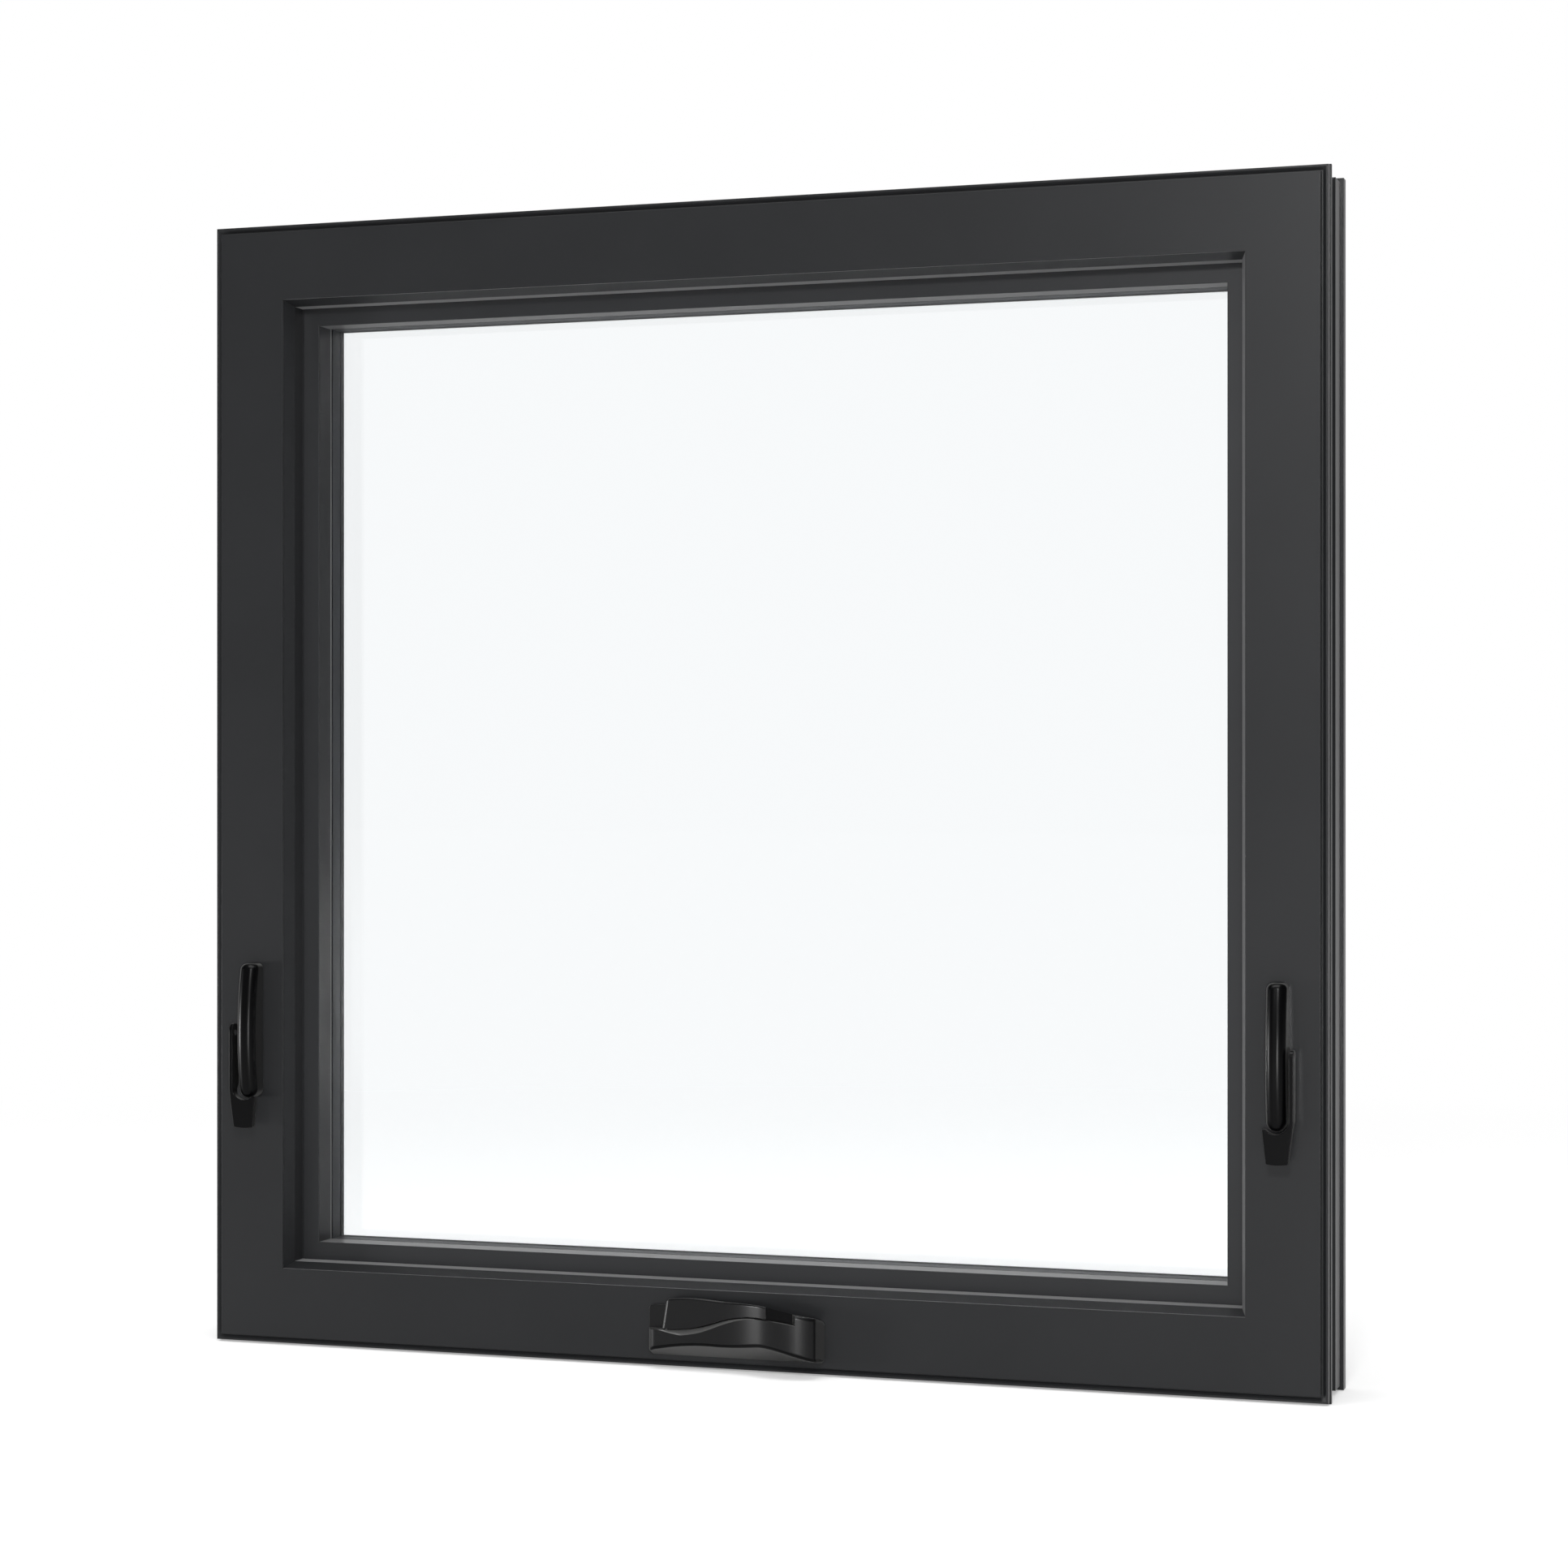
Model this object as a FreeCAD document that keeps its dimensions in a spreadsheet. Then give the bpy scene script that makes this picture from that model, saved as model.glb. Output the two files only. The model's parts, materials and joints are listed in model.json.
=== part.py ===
import FreeCAD, Part
import os
import re
import Sketcher

# Top hung awning window, seen from the room: an outer frame, a sash with a sealed double
# pane, two sash locks on the jambs and a folding crank operator on the sill.
# Millimetres. X runs to the right, Y to the outside, Z up. The origin is the middle of the
# flat rear rim under the sill, on which the window stands in its wall.
# Every section is drawn as (inset, depth): inset from the overall outline towards the glass,
# depth from the room-side face of the frame towards the outside.

SIZES = [
    # Overall
    ("overall_width", 1000),
    ("overall_height", 1000),
    ("frame_depth", 87.5),
    # Outer frame section
    ("flange_back", 15),
    ("flange_front", 10),
    ("lip_inset", 1.25),
    ("lip_front", 2.5),
    ("lip_width", 1.75),
    ("rim_slope", 2.5),
    ("rim_groove_depth", 4.8),
    ("rim_groove_width", 1.2),
    ("rim_wall_slant", 0.4),
    ("face_width", 61),
    ("face_step", 1.8),
    ("face_slope_width", 4.9),
    ("face_slope_depth", 14),
    ("leg_back", 30),
    ("rebate_inset", 40),
    ("channel_floor", 14),
    ("channel_end", 42),
    ("ridge_inset", 4),
    ("ridge_front", 52),
    ("ridge_back", 62),
    ("ridge_groove_inset", 5.5),
    ("rear_rim_width", 19.5),
    ("rear_rim_chamfer", 1),
    ("frame_wall", 2.2),
    # Room-side weather seal, held in a groove behind the frame's inner leg
    ("leg_seal_inset", 60),
    ("leg_seal_width", 6),
    ("leg_seal_groove", 3),
    ("leg_seal_gap", 1.5),
    # Sash section
    ("sash_gap", 12),
    ("sash_wall", 2.2),
    ("sash_body_width", 20),
    ("sash_lip_gap", 3),
    ("sash_lip_depth", 8),
    ("glass_stop_depth", 5),
    ("glass_stop_inset", 88.3),
    ("glass_stop_chamfer", 2),
    # Glazing
    ("sash_sightline", 15.5),
    ("bead_wall", 1.8),
    ("bead_gasket", 2),
    ("pane_thickness", 4),
    ("pane_space", 16),
    ("pane_edge_gap", 4),
    ("stop_gasket", 1.5),
    ("gasket_height", 8),
    ("gasket_setback", 0.3),
    ("spacer_edge_cover", 1),
    ("spacer_setback", 0.5),
    # Mitre cuts
    ("mitre_reach", 100),
    ("mitre_overrun", 5),
    # Sash locks
    ("lock_inset", 32),
    ("lock_width", 17),
    ("lock_bottom", 220.4),
    ("lock_length", 119.6),
    ("lock_top_corner", 5),
    ("lock_top_height", 15.5),
    ("lock_crown_height", 22.5),
    ("lock_crown_rise", 62),
    ("lock_bottom_height", 17),
    ("lock_fillet", 4.5),
    ("lever_gap", 1.2),
    ("lever_side_gap", 2.9),
    ("lever_thickness", 3.5),
    ("lever_back", 8.5),
    ("lever_front", 21),
    ("lever_pivot_rise", 58.2),
    ("lever_end_rise", 8.3),
    ("lever_tab_length", 26.2),
    ("lever_taper_rise", 8),
    ("lever_tab_foot", 18),
    ("lever_foot_inset", 29.9),
    ("lever_tab_back", 15),
    ("lever_back_rise", 14),
    ("lever_foot_bow", 1),
    ("lever_horn_reach", 10.4),
    ("lever_foot_height", 20.5),
    ("lever_horn_rise", 2.6),
    ("lever_fillet", 0.6),
    ("pin_radius", 2.45),
    ("pin_clearance", 0.05),
    ("pin_boss_radius", 6),
    ("pin_boss_gap", 0.2),
    # Crank operator, seen from the room: left and right along X, height off the sill face
    ("crank_left", -82),
    ("crank_right", 75),
    ("crank_bottom", 11),
    ("crank_end_run", 10),
    ("crank_end_slant", 3.3),
    ("crank_heel_run", 1.5),
    ("crank_heel_height", 6.6),
    ("crank_start_height", 11),
    ("crank_low_height", 14),
    ("crank_high_height", 30),
    ("crank_end_height", 20.75),
    ("crank_rise_start", -20),
    ("crank_crest", 44),
    ("crank_fillet", 3),
    ("crank_block_top", 85),
    ("trim_margin", 5),
    # Its sole and crown: how high each rises at the wall and at the crest's height off it
    ("sole_left", 24),
    ("sole_middle", 37.5),
    ("sole_rise", 29),
    ("sole_right", 15),
    ("sole_middle_place", -25),
    ("sole_rise_place", 25),
    ("crown_wall_left", 52),
    ("crown_wall_right", 46.5),
    ("crown_left", 72),
    ("crown_middle", 69),
    ("crown_shoulder", 57.5),
    ("crown_right", 54.5),
    ("crown_middle_place", 5),
    ("crown_shoulder_place", 50),
    # Folding handle, its fold pin and its knob, all nested in the cover
    ("nest_gap", 1),
    ("handle_thickness", 7.5),
    ("handle_pivot", -64),
    ("handle_lean", 6),
    ("handle_end", 31.8),
    ("parting_left", 35),
    ("parting_high", 50.5),
    ("parting_high_place", 26),
    ("parting_right", 46),
    ("fold_pin_radius", 1.25),
    ("fold_pin_depth", 8),
    ("knob_back", 22.5),
    ("knob_front", 27.5),
    ("nest_end", 57.5),
    ("knob_gap", 2.2),
    # Finger scoop under the handle: how far it drops under the parting line along X
    ("scoop_start", -70),
    ("scoop_start_drop", 1.2),
    ("scoop_deep", -50),
    ("scoop_deep_drop", 5.4),
    ("scoop_belly", -33),
    ("scoop_belly_drop", 5.1),
    ("scoop_middle", -13),
    ("scoop_middle_drop", 3.8),
    ("scoop_thin", 10),
    ("scoop_thin_drop", 1.75),
    ("scoop_end", 22),
    ("scoop_end_drop", 0.9),
]

doc = FreeCAD.newDocument("awning_window")
sheet = doc.addObject("Spreadsheet::Sheet", "Sizes")
for row, (alias, value) in enumerate(SIZES, start=1):
    sheet.set(f"A{row}", alias)
    sheet.set(f"B{row}", str(value))
    sheet.setAlias(f"B{row}", alias)
doc.recompute()

pieces = []


def ref(text):
    """A formula in plain size names, written as an expression on the sheet."""
    return re.sub(r"\b[a-z][a-z_0-9]*\b(?!\()", r"Sizes.\g<0>", text)


def value_of(text):
    """What such a formula comes to now, for the first position of a sketched point."""
    return float(sheet.evalExpression(ref(text)))


def new_body(label):
    body = doc.addObject("PartDesign::Body", label)
    body.Label = label
    pieces.append(body)
    return body


def new_sketch(body, role, name, offset=None):
    """A sketch on one of the body's own origin planes, moved along its normal by a formula."""
    plane = [item for item in body.Origin.OriginFeatures if item.Role == role][0]
    sketch = body.newObject("Sketcher::SketchObject", name)
    sketch.AttachmentSupport = [(plane, "")]
    sketch.MapMode = "FlatFace"
    if offset:
        sketch.setExpression("AttachmentOffset.Base.z", ref(offset))
    return sketch


def pin_point(sketch, geometry, end, point):
    """Ties one end of a sketched line or the centre of a circle to two formulas."""
    for kind, text in zip(("DistanceX", "DistanceY"), point):
        number = sketch.addConstraint(
            Sketcher.Constraint(kind, -1, 1, geometry, end, value_of(text))
        )
        sketch.setExpression(f"Constraints[{number}]", ref(text))


def polygon(sketch, points):
    """A closed outline of straight lines through the given pairs of formulas."""
    corners = [FreeCAD.Vector(value_of(a), value_of(b), 0) for a, b in points]
    count = len(corners)
    lines = [Part.LineSegment(corners[k], corners[(k + 1) % count]) for k in range(count)]
    first = sketch.addGeometry(lines, False)[0]
    for k in range(count):
        following = first + (k + 1) % count
        sketch.addConstraint(Sketcher.Constraint("Coincident", first + k, 2, following, 1))
        pin_point(sketch, first + k, 1, points[k])


def circle(sketch, centre, radius):
    middle = FreeCAD.Vector(value_of(centre[0]), value_of(centre[1]), 0)
    ring = Part.Circle(middle, FreeCAD.Vector(0, 0, 1), value_of(radius))
    number = sketch.addGeometry(ring, False)
    pin_point(sketch, number, 3, centre)
    size = sketch.addConstraint(Sketcher.Constraint("Radius", number, value_of(radius)))
    sketch.setExpression(f"Constraints[{size}]", ref(radius))


def outline(sketch, points):
    """A closed outline; a point with a third item is joined to the next by an arc through it."""
    places = [FreeCAD.Vector(value_of(point[0]), value_of(point[1]), 0) for point in points]
    count = len(points)
    ends = []
    first = sketch.GeometryCount
    for k, point in enumerate(points):
        start = places[k]
        end = places[(k + 1) % count]
        if len(point) == 2:
            sketch.addGeometry(Part.LineSegment(start, end), False)
            ends.append((1, 2))
        else:
            middle = FreeCAD.Vector(value_of(point[2][0]), value_of(point[2][1]), 0)
            sketch.addGeometry(Part.Arc(start, middle, end), False)
            left_turn = (middle - start).cross(end - middle).z > 0
            ends.append((1, 2) if left_turn else (2, 1))
    for k, point in enumerate(points):
        following = (k + 1) % count
        joined = (first + k, ends[k][1], first + following, ends[following][0])
        sketch.addConstraint(Sketcher.Constraint("Coincident", *joined))
        pin_point(sketch, first + k, ends[k][0], point)
        if len(point) > 2:
            middle = FreeCAD.Vector(value_of(point[2][0]), value_of(point[2][1]), 0)
            mark = sketch.addGeometry(Part.Point(middle), True)
            pin_point(sketch, mark, 1, point[2])
            sketch.addConstraint(Sketcher.Constraint("PointOnObject", mark, 1, first + k))


def arc_height(place, level, other):
    """How high an arc is at a place, when it is level in one point and ends in another."""
    run = f"(({other[0]}) - ({level[0]}))"
    rise = f"(({other[1]}) - ({level[1]}))"
    radius = f"(({run} ^ 2 + {rise} ^ 2) / (2 * {rise}))"
    part = f"((({place}) - ({level[0]})) / {radius})"
    return f"(({level[1]}) + {radius} * (1 - sqrt(1 - {part} ^ 2)))"


def pad(body, sketch, length, symmetric=False, reverse=False):
    feature = body.newObject("PartDesign::Pad", sketch.Name + "_pad")
    feature.Profile = sketch
    feature.setExpression("Length", ref(length))
    feature.SideType = "Symmetric" if symmetric else "One side"
    feature.Reversed = reverse
    sketch.Visibility = False
    doc.recompute()
    return feature


def pocket(body, sketch, length=None, reverse=False):
    """Cuts the sketch away: all through both ways, or for a length one way."""
    before = body.Shape.Volume
    feature = body.newObject("PartDesign::Pocket", sketch.Name + "_cut")
    feature.Profile = sketch
    if length:
        feature.Type = "Length"
        feature.setExpression("Length", ref(length))
        feature.Reversed = reverse
    else:
        feature.Type = "ThroughAll"
        feature.SideType = "Symmetric"
    sketch.Visibility = False
    doc.recompute()
    if not body.Shape.Volume < before:
        raise RuntimeError(f"{body.Label}: {sketch.Name} cuts nothing")
    return feature


# Places in the window's own frame, as formulas
ORIGIN_DEPTH = "(frame_depth - rear_rim_width / 2)"
HALF_WIDTH = "(overall_width / 2)"


def at_depth(depth):
    return f"({depth}) - {ORIGIN_DEPTH}"


def section_point(side, inset, depth):
    """A section's (inset, depth) as the two sketch coordinates of a rail on that side."""
    if side == "sill":
        return (at_depth(depth), inset)
    if side == "head":
        return (at_depth(depth), f"overall_height - ({inset})")
    if side == "left":
        return (f"({inset}) - {HALF_WIDTH}", at_depth(depth))
    return (f"{HALF_WIDTH} - ({inset})", at_depth(depth))


def mitre_corner(side, end):
    """The triangle, seen from the room, that a mitre cut takes off one end of a rail."""
    out = "0 - mitre_overrun"
    if side in ("sill", "head"):
        corners = [(out, out), (out, "mitre_reach"), ("mitre_reach", "mitre_reach")]
        flip_x = end == "far"
        flip_z = side == "head"
    else:
        corners = [(out, out), ("mitre_reach", out), ("mitre_reach", "mitre_reach")]
        flip_x = side == "right"
        flip_z = end == "far"
    points = []
    for across, up in corners:
        x = f"{HALF_WIDTH} - ({across})" if flip_x else f"({across}) - {HALF_WIDTH}"
        z = f"overall_height - ({up})" if flip_z else up
        points.append((x, z))
    return points


def mitred_rail(label, side, outline, chambers=()):
    """An extruded section cut to 45 degrees at both ends."""
    body = new_body(label)
    level = side in ("sill", "head")
    sketch = new_sketch(body, "YZ_Plane" if level else "XY_Plane", label + "_section")
    for loop in (outline, *chambers):
        polygon(sketch, [section_point(side, inset, depth) for inset, depth in loop])
    length = "overall_width" if level else "overall_height"
    pad(body, sketch, length, symmetric=level)
    for end in ("near", "far"):
        cut = new_sketch(body, "XZ_Plane", f"{label}_mitre_{end}")
        polygon(cut, mitre_corner(side, end))
        pocket(body, cut)
    return body


def ring(label, outer, inner, front, back):
    """A flat rectangular ring between two insets and two depths."""
    body = new_body(label)
    sketch = new_sketch(body, "XZ_Plane", label + "_outline", f"0 - ({at_depth(back)})")
    for inset in (outer, inner):
        polygon(sketch, rectangle(inset))
    pad(body, sketch, f"({back}) - ({front})")
    return body


def rectangle(inset):
    """The overall outline moved in by an inset, seen from the room."""
    left = f"({inset}) - {HALF_WIDTH}"
    right = f"{HALF_WIDTH} - ({inset})"
    top = f"overall_height - ({inset})"
    return [(left, inset), (right, inset), (right, top), (left, top)]


# Insets and depths that several sections share
FACE_OUTER = "(lip_inset + lip_width + rim_slope + rim_groove_width + rim_wall_slant)"
FACE_INNER = f"({FACE_OUTER} + face_width)"
FRAME_SIGHT = f"({FACE_INNER} + face_slope_width)"
SASH_FACE = "(leg_back + leg_seal_gap)"
SASH_OUTER = "(rebate_inset + sash_gap)"
SASH_INNER = f"({SASH_OUTER} + sash_body_width)"
GLASS_SIGHT = f"({FRAME_SIGHT} + sash_sightline)"
STOP_FRONT = "(frame_depth - glass_stop_depth)"
PANE_BACK = f"({STOP_FRONT} - stop_gasket)"
PANE_FRONT = f"({PANE_BACK} - 2 * pane_thickness - pane_space)"
BEAD_END = f"({PANE_FRONT} - bead_gasket)"
PANE_EDGE = f"({SASH_INNER} + pane_edge_gap)"

SIDES = [("head", "head"), ("sill", "sill"), ("jamb_left", "left"), ("jamb_right", "right")]

# Outer frame: a body against the wall, an inner leg that the sash closes against, a rimmed
# room-side face, and a fixing channel round the outside
frame_outline = [
    ("0", "flange_back"),
    ("0", "flange_front"),
    ("lip_inset", "flange_front"),
    ("lip_inset", "lip_front"),
    ("lip_inset + lip_width", "lip_front"),
    ("lip_inset + lip_width + rim_slope", "rim_groove_depth"),
    ("lip_inset + lip_width + rim_slope + rim_groove_width", "rim_groove_depth"),
    (FACE_OUTER, "0"),
    (FACE_INNER, "0"),
    (FACE_INNER, "face_step"),
    (FRAME_SIGHT, "face_slope_depth"),
    (FRAME_SIGHT, "leg_back"),
    ("leg_seal_inset + leg_seal_width", "leg_back"),
    ("leg_seal_inset + leg_seal_width", "leg_back - leg_seal_groove"),
    ("leg_seal_inset", "leg_back - leg_seal_groove"),
    ("leg_seal_inset", "leg_back"),
    ("rebate_inset", "leg_back"),
    ("rebate_inset", "frame_depth"),
    ("rear_rim_chamfer", "frame_depth"),
    ("0", "frame_depth - rear_rim_chamfer"),
    ("0", "frame_depth - rear_rim_width"),
    ("ridge_groove_inset", "frame_depth - rear_rim_width"),
    ("ridge_groove_inset", "ridge_back"),
    ("ridge_inset", "ridge_back"),
    ("ridge_inset", "ridge_front"),
    ("channel_floor", "channel_end"),
    ("channel_floor", "flange_back"),
]
frame_chambers = [
    [
        ("channel_floor + frame_wall", "frame_wall"),
        (f"{FACE_INNER} - frame_wall", "frame_wall"),
        (f"{FACE_INNER} - frame_wall", "leg_back - leg_seal_groove - frame_wall"),
        ("channel_floor + frame_wall", "leg_back - leg_seal_groove - frame_wall"),
    ],
    [
        ("channel_floor + frame_wall", "leg_back"),
        ("rebate_inset - frame_wall", "leg_back"),
        ("rebate_inset - frame_wall", "frame_depth - frame_wall"),
        ("channel_floor + frame_wall", "frame_depth - frame_wall"),
    ],
    [
        ("ridge_groove_inset + frame_wall", "ridge_front + frame_wall"),
        ("channel_floor", "ridge_front + frame_wall"),
        ("channel_floor", "frame_depth - frame_wall"),
        ("ridge_groove_inset + frame_wall", "frame_depth - frame_wall"),
    ],
]
for name, side in SIDES:
    mitred_rail("frame_" + name, side, frame_outline, frame_chambers)

# Sash: a hollow rail with an outer lip that closes the gap to the frame, and a stop
# against which the glass is bedded from the room side
sash_outline = [
    (SASH_OUTER, SASH_FACE),
    (SASH_INNER, SASH_FACE),
    (SASH_INNER, STOP_FRONT),
    ("glass_stop_inset", STOP_FRONT),
    ("glass_stop_inset", "frame_depth - glass_stop_chamfer"),
    ("glass_stop_inset - glass_stop_chamfer", "frame_depth"),
    ("rebate_inset + sash_lip_gap", "frame_depth"),
    ("rebate_inset + sash_lip_gap", "frame_depth - sash_lip_depth"),
    (SASH_OUTER, "frame_depth - sash_lip_depth"),
]
sash_chamber = [
    (f"{SASH_OUTER} + sash_wall", f"{SASH_FACE} + sash_wall"),
    (f"{SASH_INNER} - sash_wall", f"{SASH_FACE} + sash_wall"),
    (f"{SASH_INNER} - sash_wall", "frame_depth - sash_lip_depth"),
    (f"{SASH_OUTER} + sash_wall", "frame_depth - sash_lip_depth"),
]
SASH_SIDES = [
    ("sash_top_rail", "head"),
    ("sash_bottom_rail", "sill"),
    ("sash_left_stile", "left"),
    ("sash_right_stile", "right"),
]
for name, side in SASH_SIDES:
    mitred_rail(name, side, sash_outline, [sash_chamber])

# Glazing beads, snapped in from the room side
bead_outline = [
    (SASH_INNER, SASH_FACE),
    (GLASS_SIGHT, SASH_FACE),
    (GLASS_SIGHT, BEAD_END),
    (SASH_INNER, BEAD_END),
]
bead_chamber = [
    (f"{SASH_INNER} + bead_wall", f"{SASH_FACE} + bead_wall"),
    (f"{GLASS_SIGHT} - bead_wall", f"{SASH_FACE} + bead_wall"),
    (f"{GLASS_SIGHT} - bead_wall", f"{BEAD_END} - bead_wall"),
    (f"{SASH_INNER} + bead_wall", f"{BEAD_END} - bead_wall"),
]
BEAD_SIDES = [("top", "head"), ("bottom", "sill"), ("left", "left"), ("right", "right")]
for name, side in BEAD_SIDES:
    mitred_rail("glazing_bead_" + name, side, bead_outline, [bead_chamber])


def glass_pane(label, front):
    body = new_body(label)
    back = f"({front}) + pane_thickness"
    sketch = new_sketch(body, "XZ_Plane", label + "_outline", f"0 - ({at_depth(back)})")
    polygon(sketch, rectangle(PANE_EDGE))
    pad(body, sketch, "pane_thickness")


# Sealed double pane and the gaskets on both sides of it
glass_pane("inner_pane", PANE_FRONT)
glass_pane("outer_pane", f"{PANE_FRONT} + pane_thickness + pane_space")
ring(
    "glass_spacer",
    f"{PANE_EDGE} + spacer_edge_cover",
    f"{GLASS_SIGHT} - spacer_setback",
    f"{PANE_FRONT} + pane_thickness",
    f"{PANE_FRONT} + pane_thickness + pane_space",
)
ring(
    "inner_glazing_gasket",
    f"{GLASS_SIGHT} - gasket_height",
    f"{GLASS_SIGHT} - gasket_setback",
    BEAD_END,
    PANE_FRONT,
)
ring(
    "outer_glazing_gasket",
    "glass_stop_inset - gasket_height",
    "glass_stop_inset - gasket_setback",
    PANE_BACK,
    STOP_FRONT,
)

# Weather seals between frame and sash
ring(
    "frame_weather_seal",
    "leg_seal_inset",
    "leg_seal_inset + leg_seal_width",
    "leg_back - leg_seal_groove",
    SASH_FACE,
)
ring(
    "sash_weather_seal",
    "rebate_inset",
    "rebate_inset + sash_lip_gap",
    "frame_depth - sash_lip_depth",
    "frame_depth - sash_lip_depth / 2",
)


def mirrored_x(side, inset):
    """An x that lies a given inset from the left or the right of the outline."""
    if side == "left":
        return f"({inset}) - {HALF_WIDTH}"
    return f"{HALF_WIDTH} - ({inset})"


def sash_lock(side):
    """A domed housing, a lever on its outer side with a thumb tab under it, and its pin."""
    name = "lock_" + side
    middle = "(lock_inset + lock_width / 2)"
    lock_top = "(lock_bottom + lock_length)"
    pivot = (at_depth("0 - (lever_back + lever_front) / 2"), "lock_bottom + lever_pivot_rise")

    def seen(inset, height):
        return (mirrored_x(side, inset), height)

    housing = new_body(name + "_housing")
    sketch = new_sketch(housing, "XZ_Plane", name + "_footprint", f"0 - ({at_depth('0')})")
    far_side = "lock_inset + lock_width"
    corner = "lock_top_corner"
    bow = "lock_top_corner * (1 - sqrt(0.5))"
    outline(
        sketch,
        [
            (
                *seen("lock_inset", "lock_bottom + lock_width / 2"),
                seen(middle, "lock_bottom"),
            ),
            seen(far_side, "lock_bottom + lock_width / 2"),
            (
                *seen(far_side, f"{lock_top} - {corner}"),
                seen(f"{far_side} - {bow}", f"{lock_top} - {bow}"),
            ),
            seen(f"{far_side} - {corner}", lock_top),
            (
                *seen(f"lock_inset + {corner}", lock_top),
                seen(f"lock_inset + {bow}", f"{lock_top} - {bow}"),
            ),
            seen("lock_inset", f"{lock_top} - {corner}"),
        ],
    )
    pad(housing, sketch, "lock_crown_height")
    crown = new_sketch(housing, "YZ_Plane", name + "_crown")
    clear = at_depth("0 - lock_crown_height - trim_margin")
    outline(
        crown,
        [
            (
                at_depth("0 - lock_bottom_height"),
                "lock_bottom",
                (at_depth("0 - lock_crown_height"), "lock_bottom + lock_crown_rise"),
            ),
            (at_depth("0 - lock_top_height"), lock_top),
            (at_depth("0 - lock_top_height"), f"{lock_top} + trim_margin"),
            (clear, f"{lock_top} + trim_margin"),
            (clear, "lock_bottom - trim_margin"),
            (at_depth("0 - lock_bottom_height"), "lock_bottom - trim_margin"),
        ],
    )
    crowned = pocket(housing, crown)
    rounding(housing, crowned, front_faces(crowned.Shape, "lock_bottom_height"), "lock_fillet")
    boss = new_sketch(housing, "YZ_Plane", name + "_boss", mirrored_x(side, middle))
    circle(boss, pivot, "pin_boss_radius")
    reach = "lock_width / 2 + lever_side_gap - pin_boss_gap"
    pad(housing, boss, reach, reverse=side == "left")

    lever = new_body(name + "_lever")
    face = f"0 - ({at_depth('0 - lever_back')})"
    blade = new_sketch(lever, "XZ_Plane", name + "_blade", face)
    inside = "(lock_inset - lever_side_gap)"
    reach = "(lock_width / 2 + lever_gap)"
    horn_drop = "(lock_width / 2 - lever_horn_rise)"
    end_height = "(lock_bottom + lever_pivot_rise + lever_end_rise)"
    end_start = f"{end_height} - (lever_front - lever_back) / 2"
    foot = "(lock_bottom - lever_tab_length)"
    foot_middle = "lever_foot_inset + lever_tab_foot / 2"
    outline(
        blade,
        [
            seen(f"{inside} - lever_thickness", end_height),
            seen(f"{inside} - lever_thickness", "lock_bottom + lever_taper_rise"),
            (
                *seen("lever_foot_inset", f"{foot} + lever_foot_bow"),
                seen(foot_middle, foot),
            ),
            seen("lever_foot_inset + lever_tab_foot", f"{foot} + lever_foot_bow"),
            seen(f"{middle} + lever_horn_reach", "lock_bottom + lever_horn_rise"),
            (
                *seen(
                    f"{middle} + sqrt({reach} ^ 2 - {horn_drop} ^ 2)",
                    "lock_bottom + lever_horn_rise",
                ),
                seen(middle, "lock_bottom - lever_gap"),
            ),
            seen(inside, "lock_bottom + lock_width / 2"),
            seen(inside, end_height),
        ],
    )
    pad(lever, blade, "lever_front - lever_back")
    shape = new_sketch(lever, "YZ_Plane", name + "_lever_side")
    back = at_depth("0 - lever_back")
    front = at_depth("0 - lever_front")
    near = at_depth("trim_margin - lever_back")
    clear = at_depth("0 - lever_front - trim_margin")
    tab_middle = "lock_bottom - lever_tab_length / 2"
    tab_bulge = arc_height(
        tab_middle, ("lock_bottom", "lever_front"), (foot, "lever_foot_height")
    )
    polygon(
        shape,
        [
            (near, f"{foot} - trim_margin"),
            (clear, f"{foot} - trim_margin"),
            (clear, f"{end_height} + trim_margin"),
            (near, f"{end_height} + trim_margin"),
        ],
    )
    outline(
        shape,
        [
            (at_depth("0 - lever_tab_back"), foot),
            (at_depth("0 - lever_tab_back"), "lock_bottom"),
            (back, "lock_bottom + lever_back_rise"),
            (back, end_start, (pivot[0], end_height)),
            (front, end_start),
            (
                front,
                "lock_bottom",
                (at_depth(f"0 - {tab_bulge}"), tab_middle),
            ),
            (at_depth("0 - lever_foot_height"), foot),
        ],
    )
    shaped = pocket(lever, shape)
    tab_limit = "(lever_tab_back + lever_foot_height) / 2 - lever_fillet"
    rounding(lever, shaped, front_faces(shaped.Shape, tab_limit), "lever_fillet")
    hole = new_sketch(lever, "YZ_Plane", name + "_hole")
    circle(hole, pivot, "pin_radius + pin_clearance")
    pocket(lever, hole)

    pin = new_body(name + "_pin")
    boss_end = "lock_inset - lever_side_gap + pin_boss_gap"
    shank = new_sketch(pin, "YZ_Plane", name + "_shank", mirrored_x(side, boss_end))
    circle(shank, pivot, "pin_radius")
    pad(pin, shank, "pin_boss_gap + lever_thickness", reverse=side == "left")


def front_faces(shape, height):
    """The names of the faces whose middle lies further into the room than a height."""
    limit = value_of(at_depth(f"0 - ({height})"))
    faces = enumerate(shape.Faces, start=1)
    return [f"Face{number}" for number, face in faces if face.CenterOfMass.y < limit]


def rounding(body, base, names, radius):
    """Rounds the named edges, or every edge of the named faces."""
    fillet = body.newObject("PartDesign::Fillet", base.Name + "_rounding")
    fillet.Base = (base, names)
    fillet.setExpression("Radius", ref(radius))
    doc.recompute()
    return fillet


for side in ("left", "right"):
    sash_lock(side)

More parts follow.
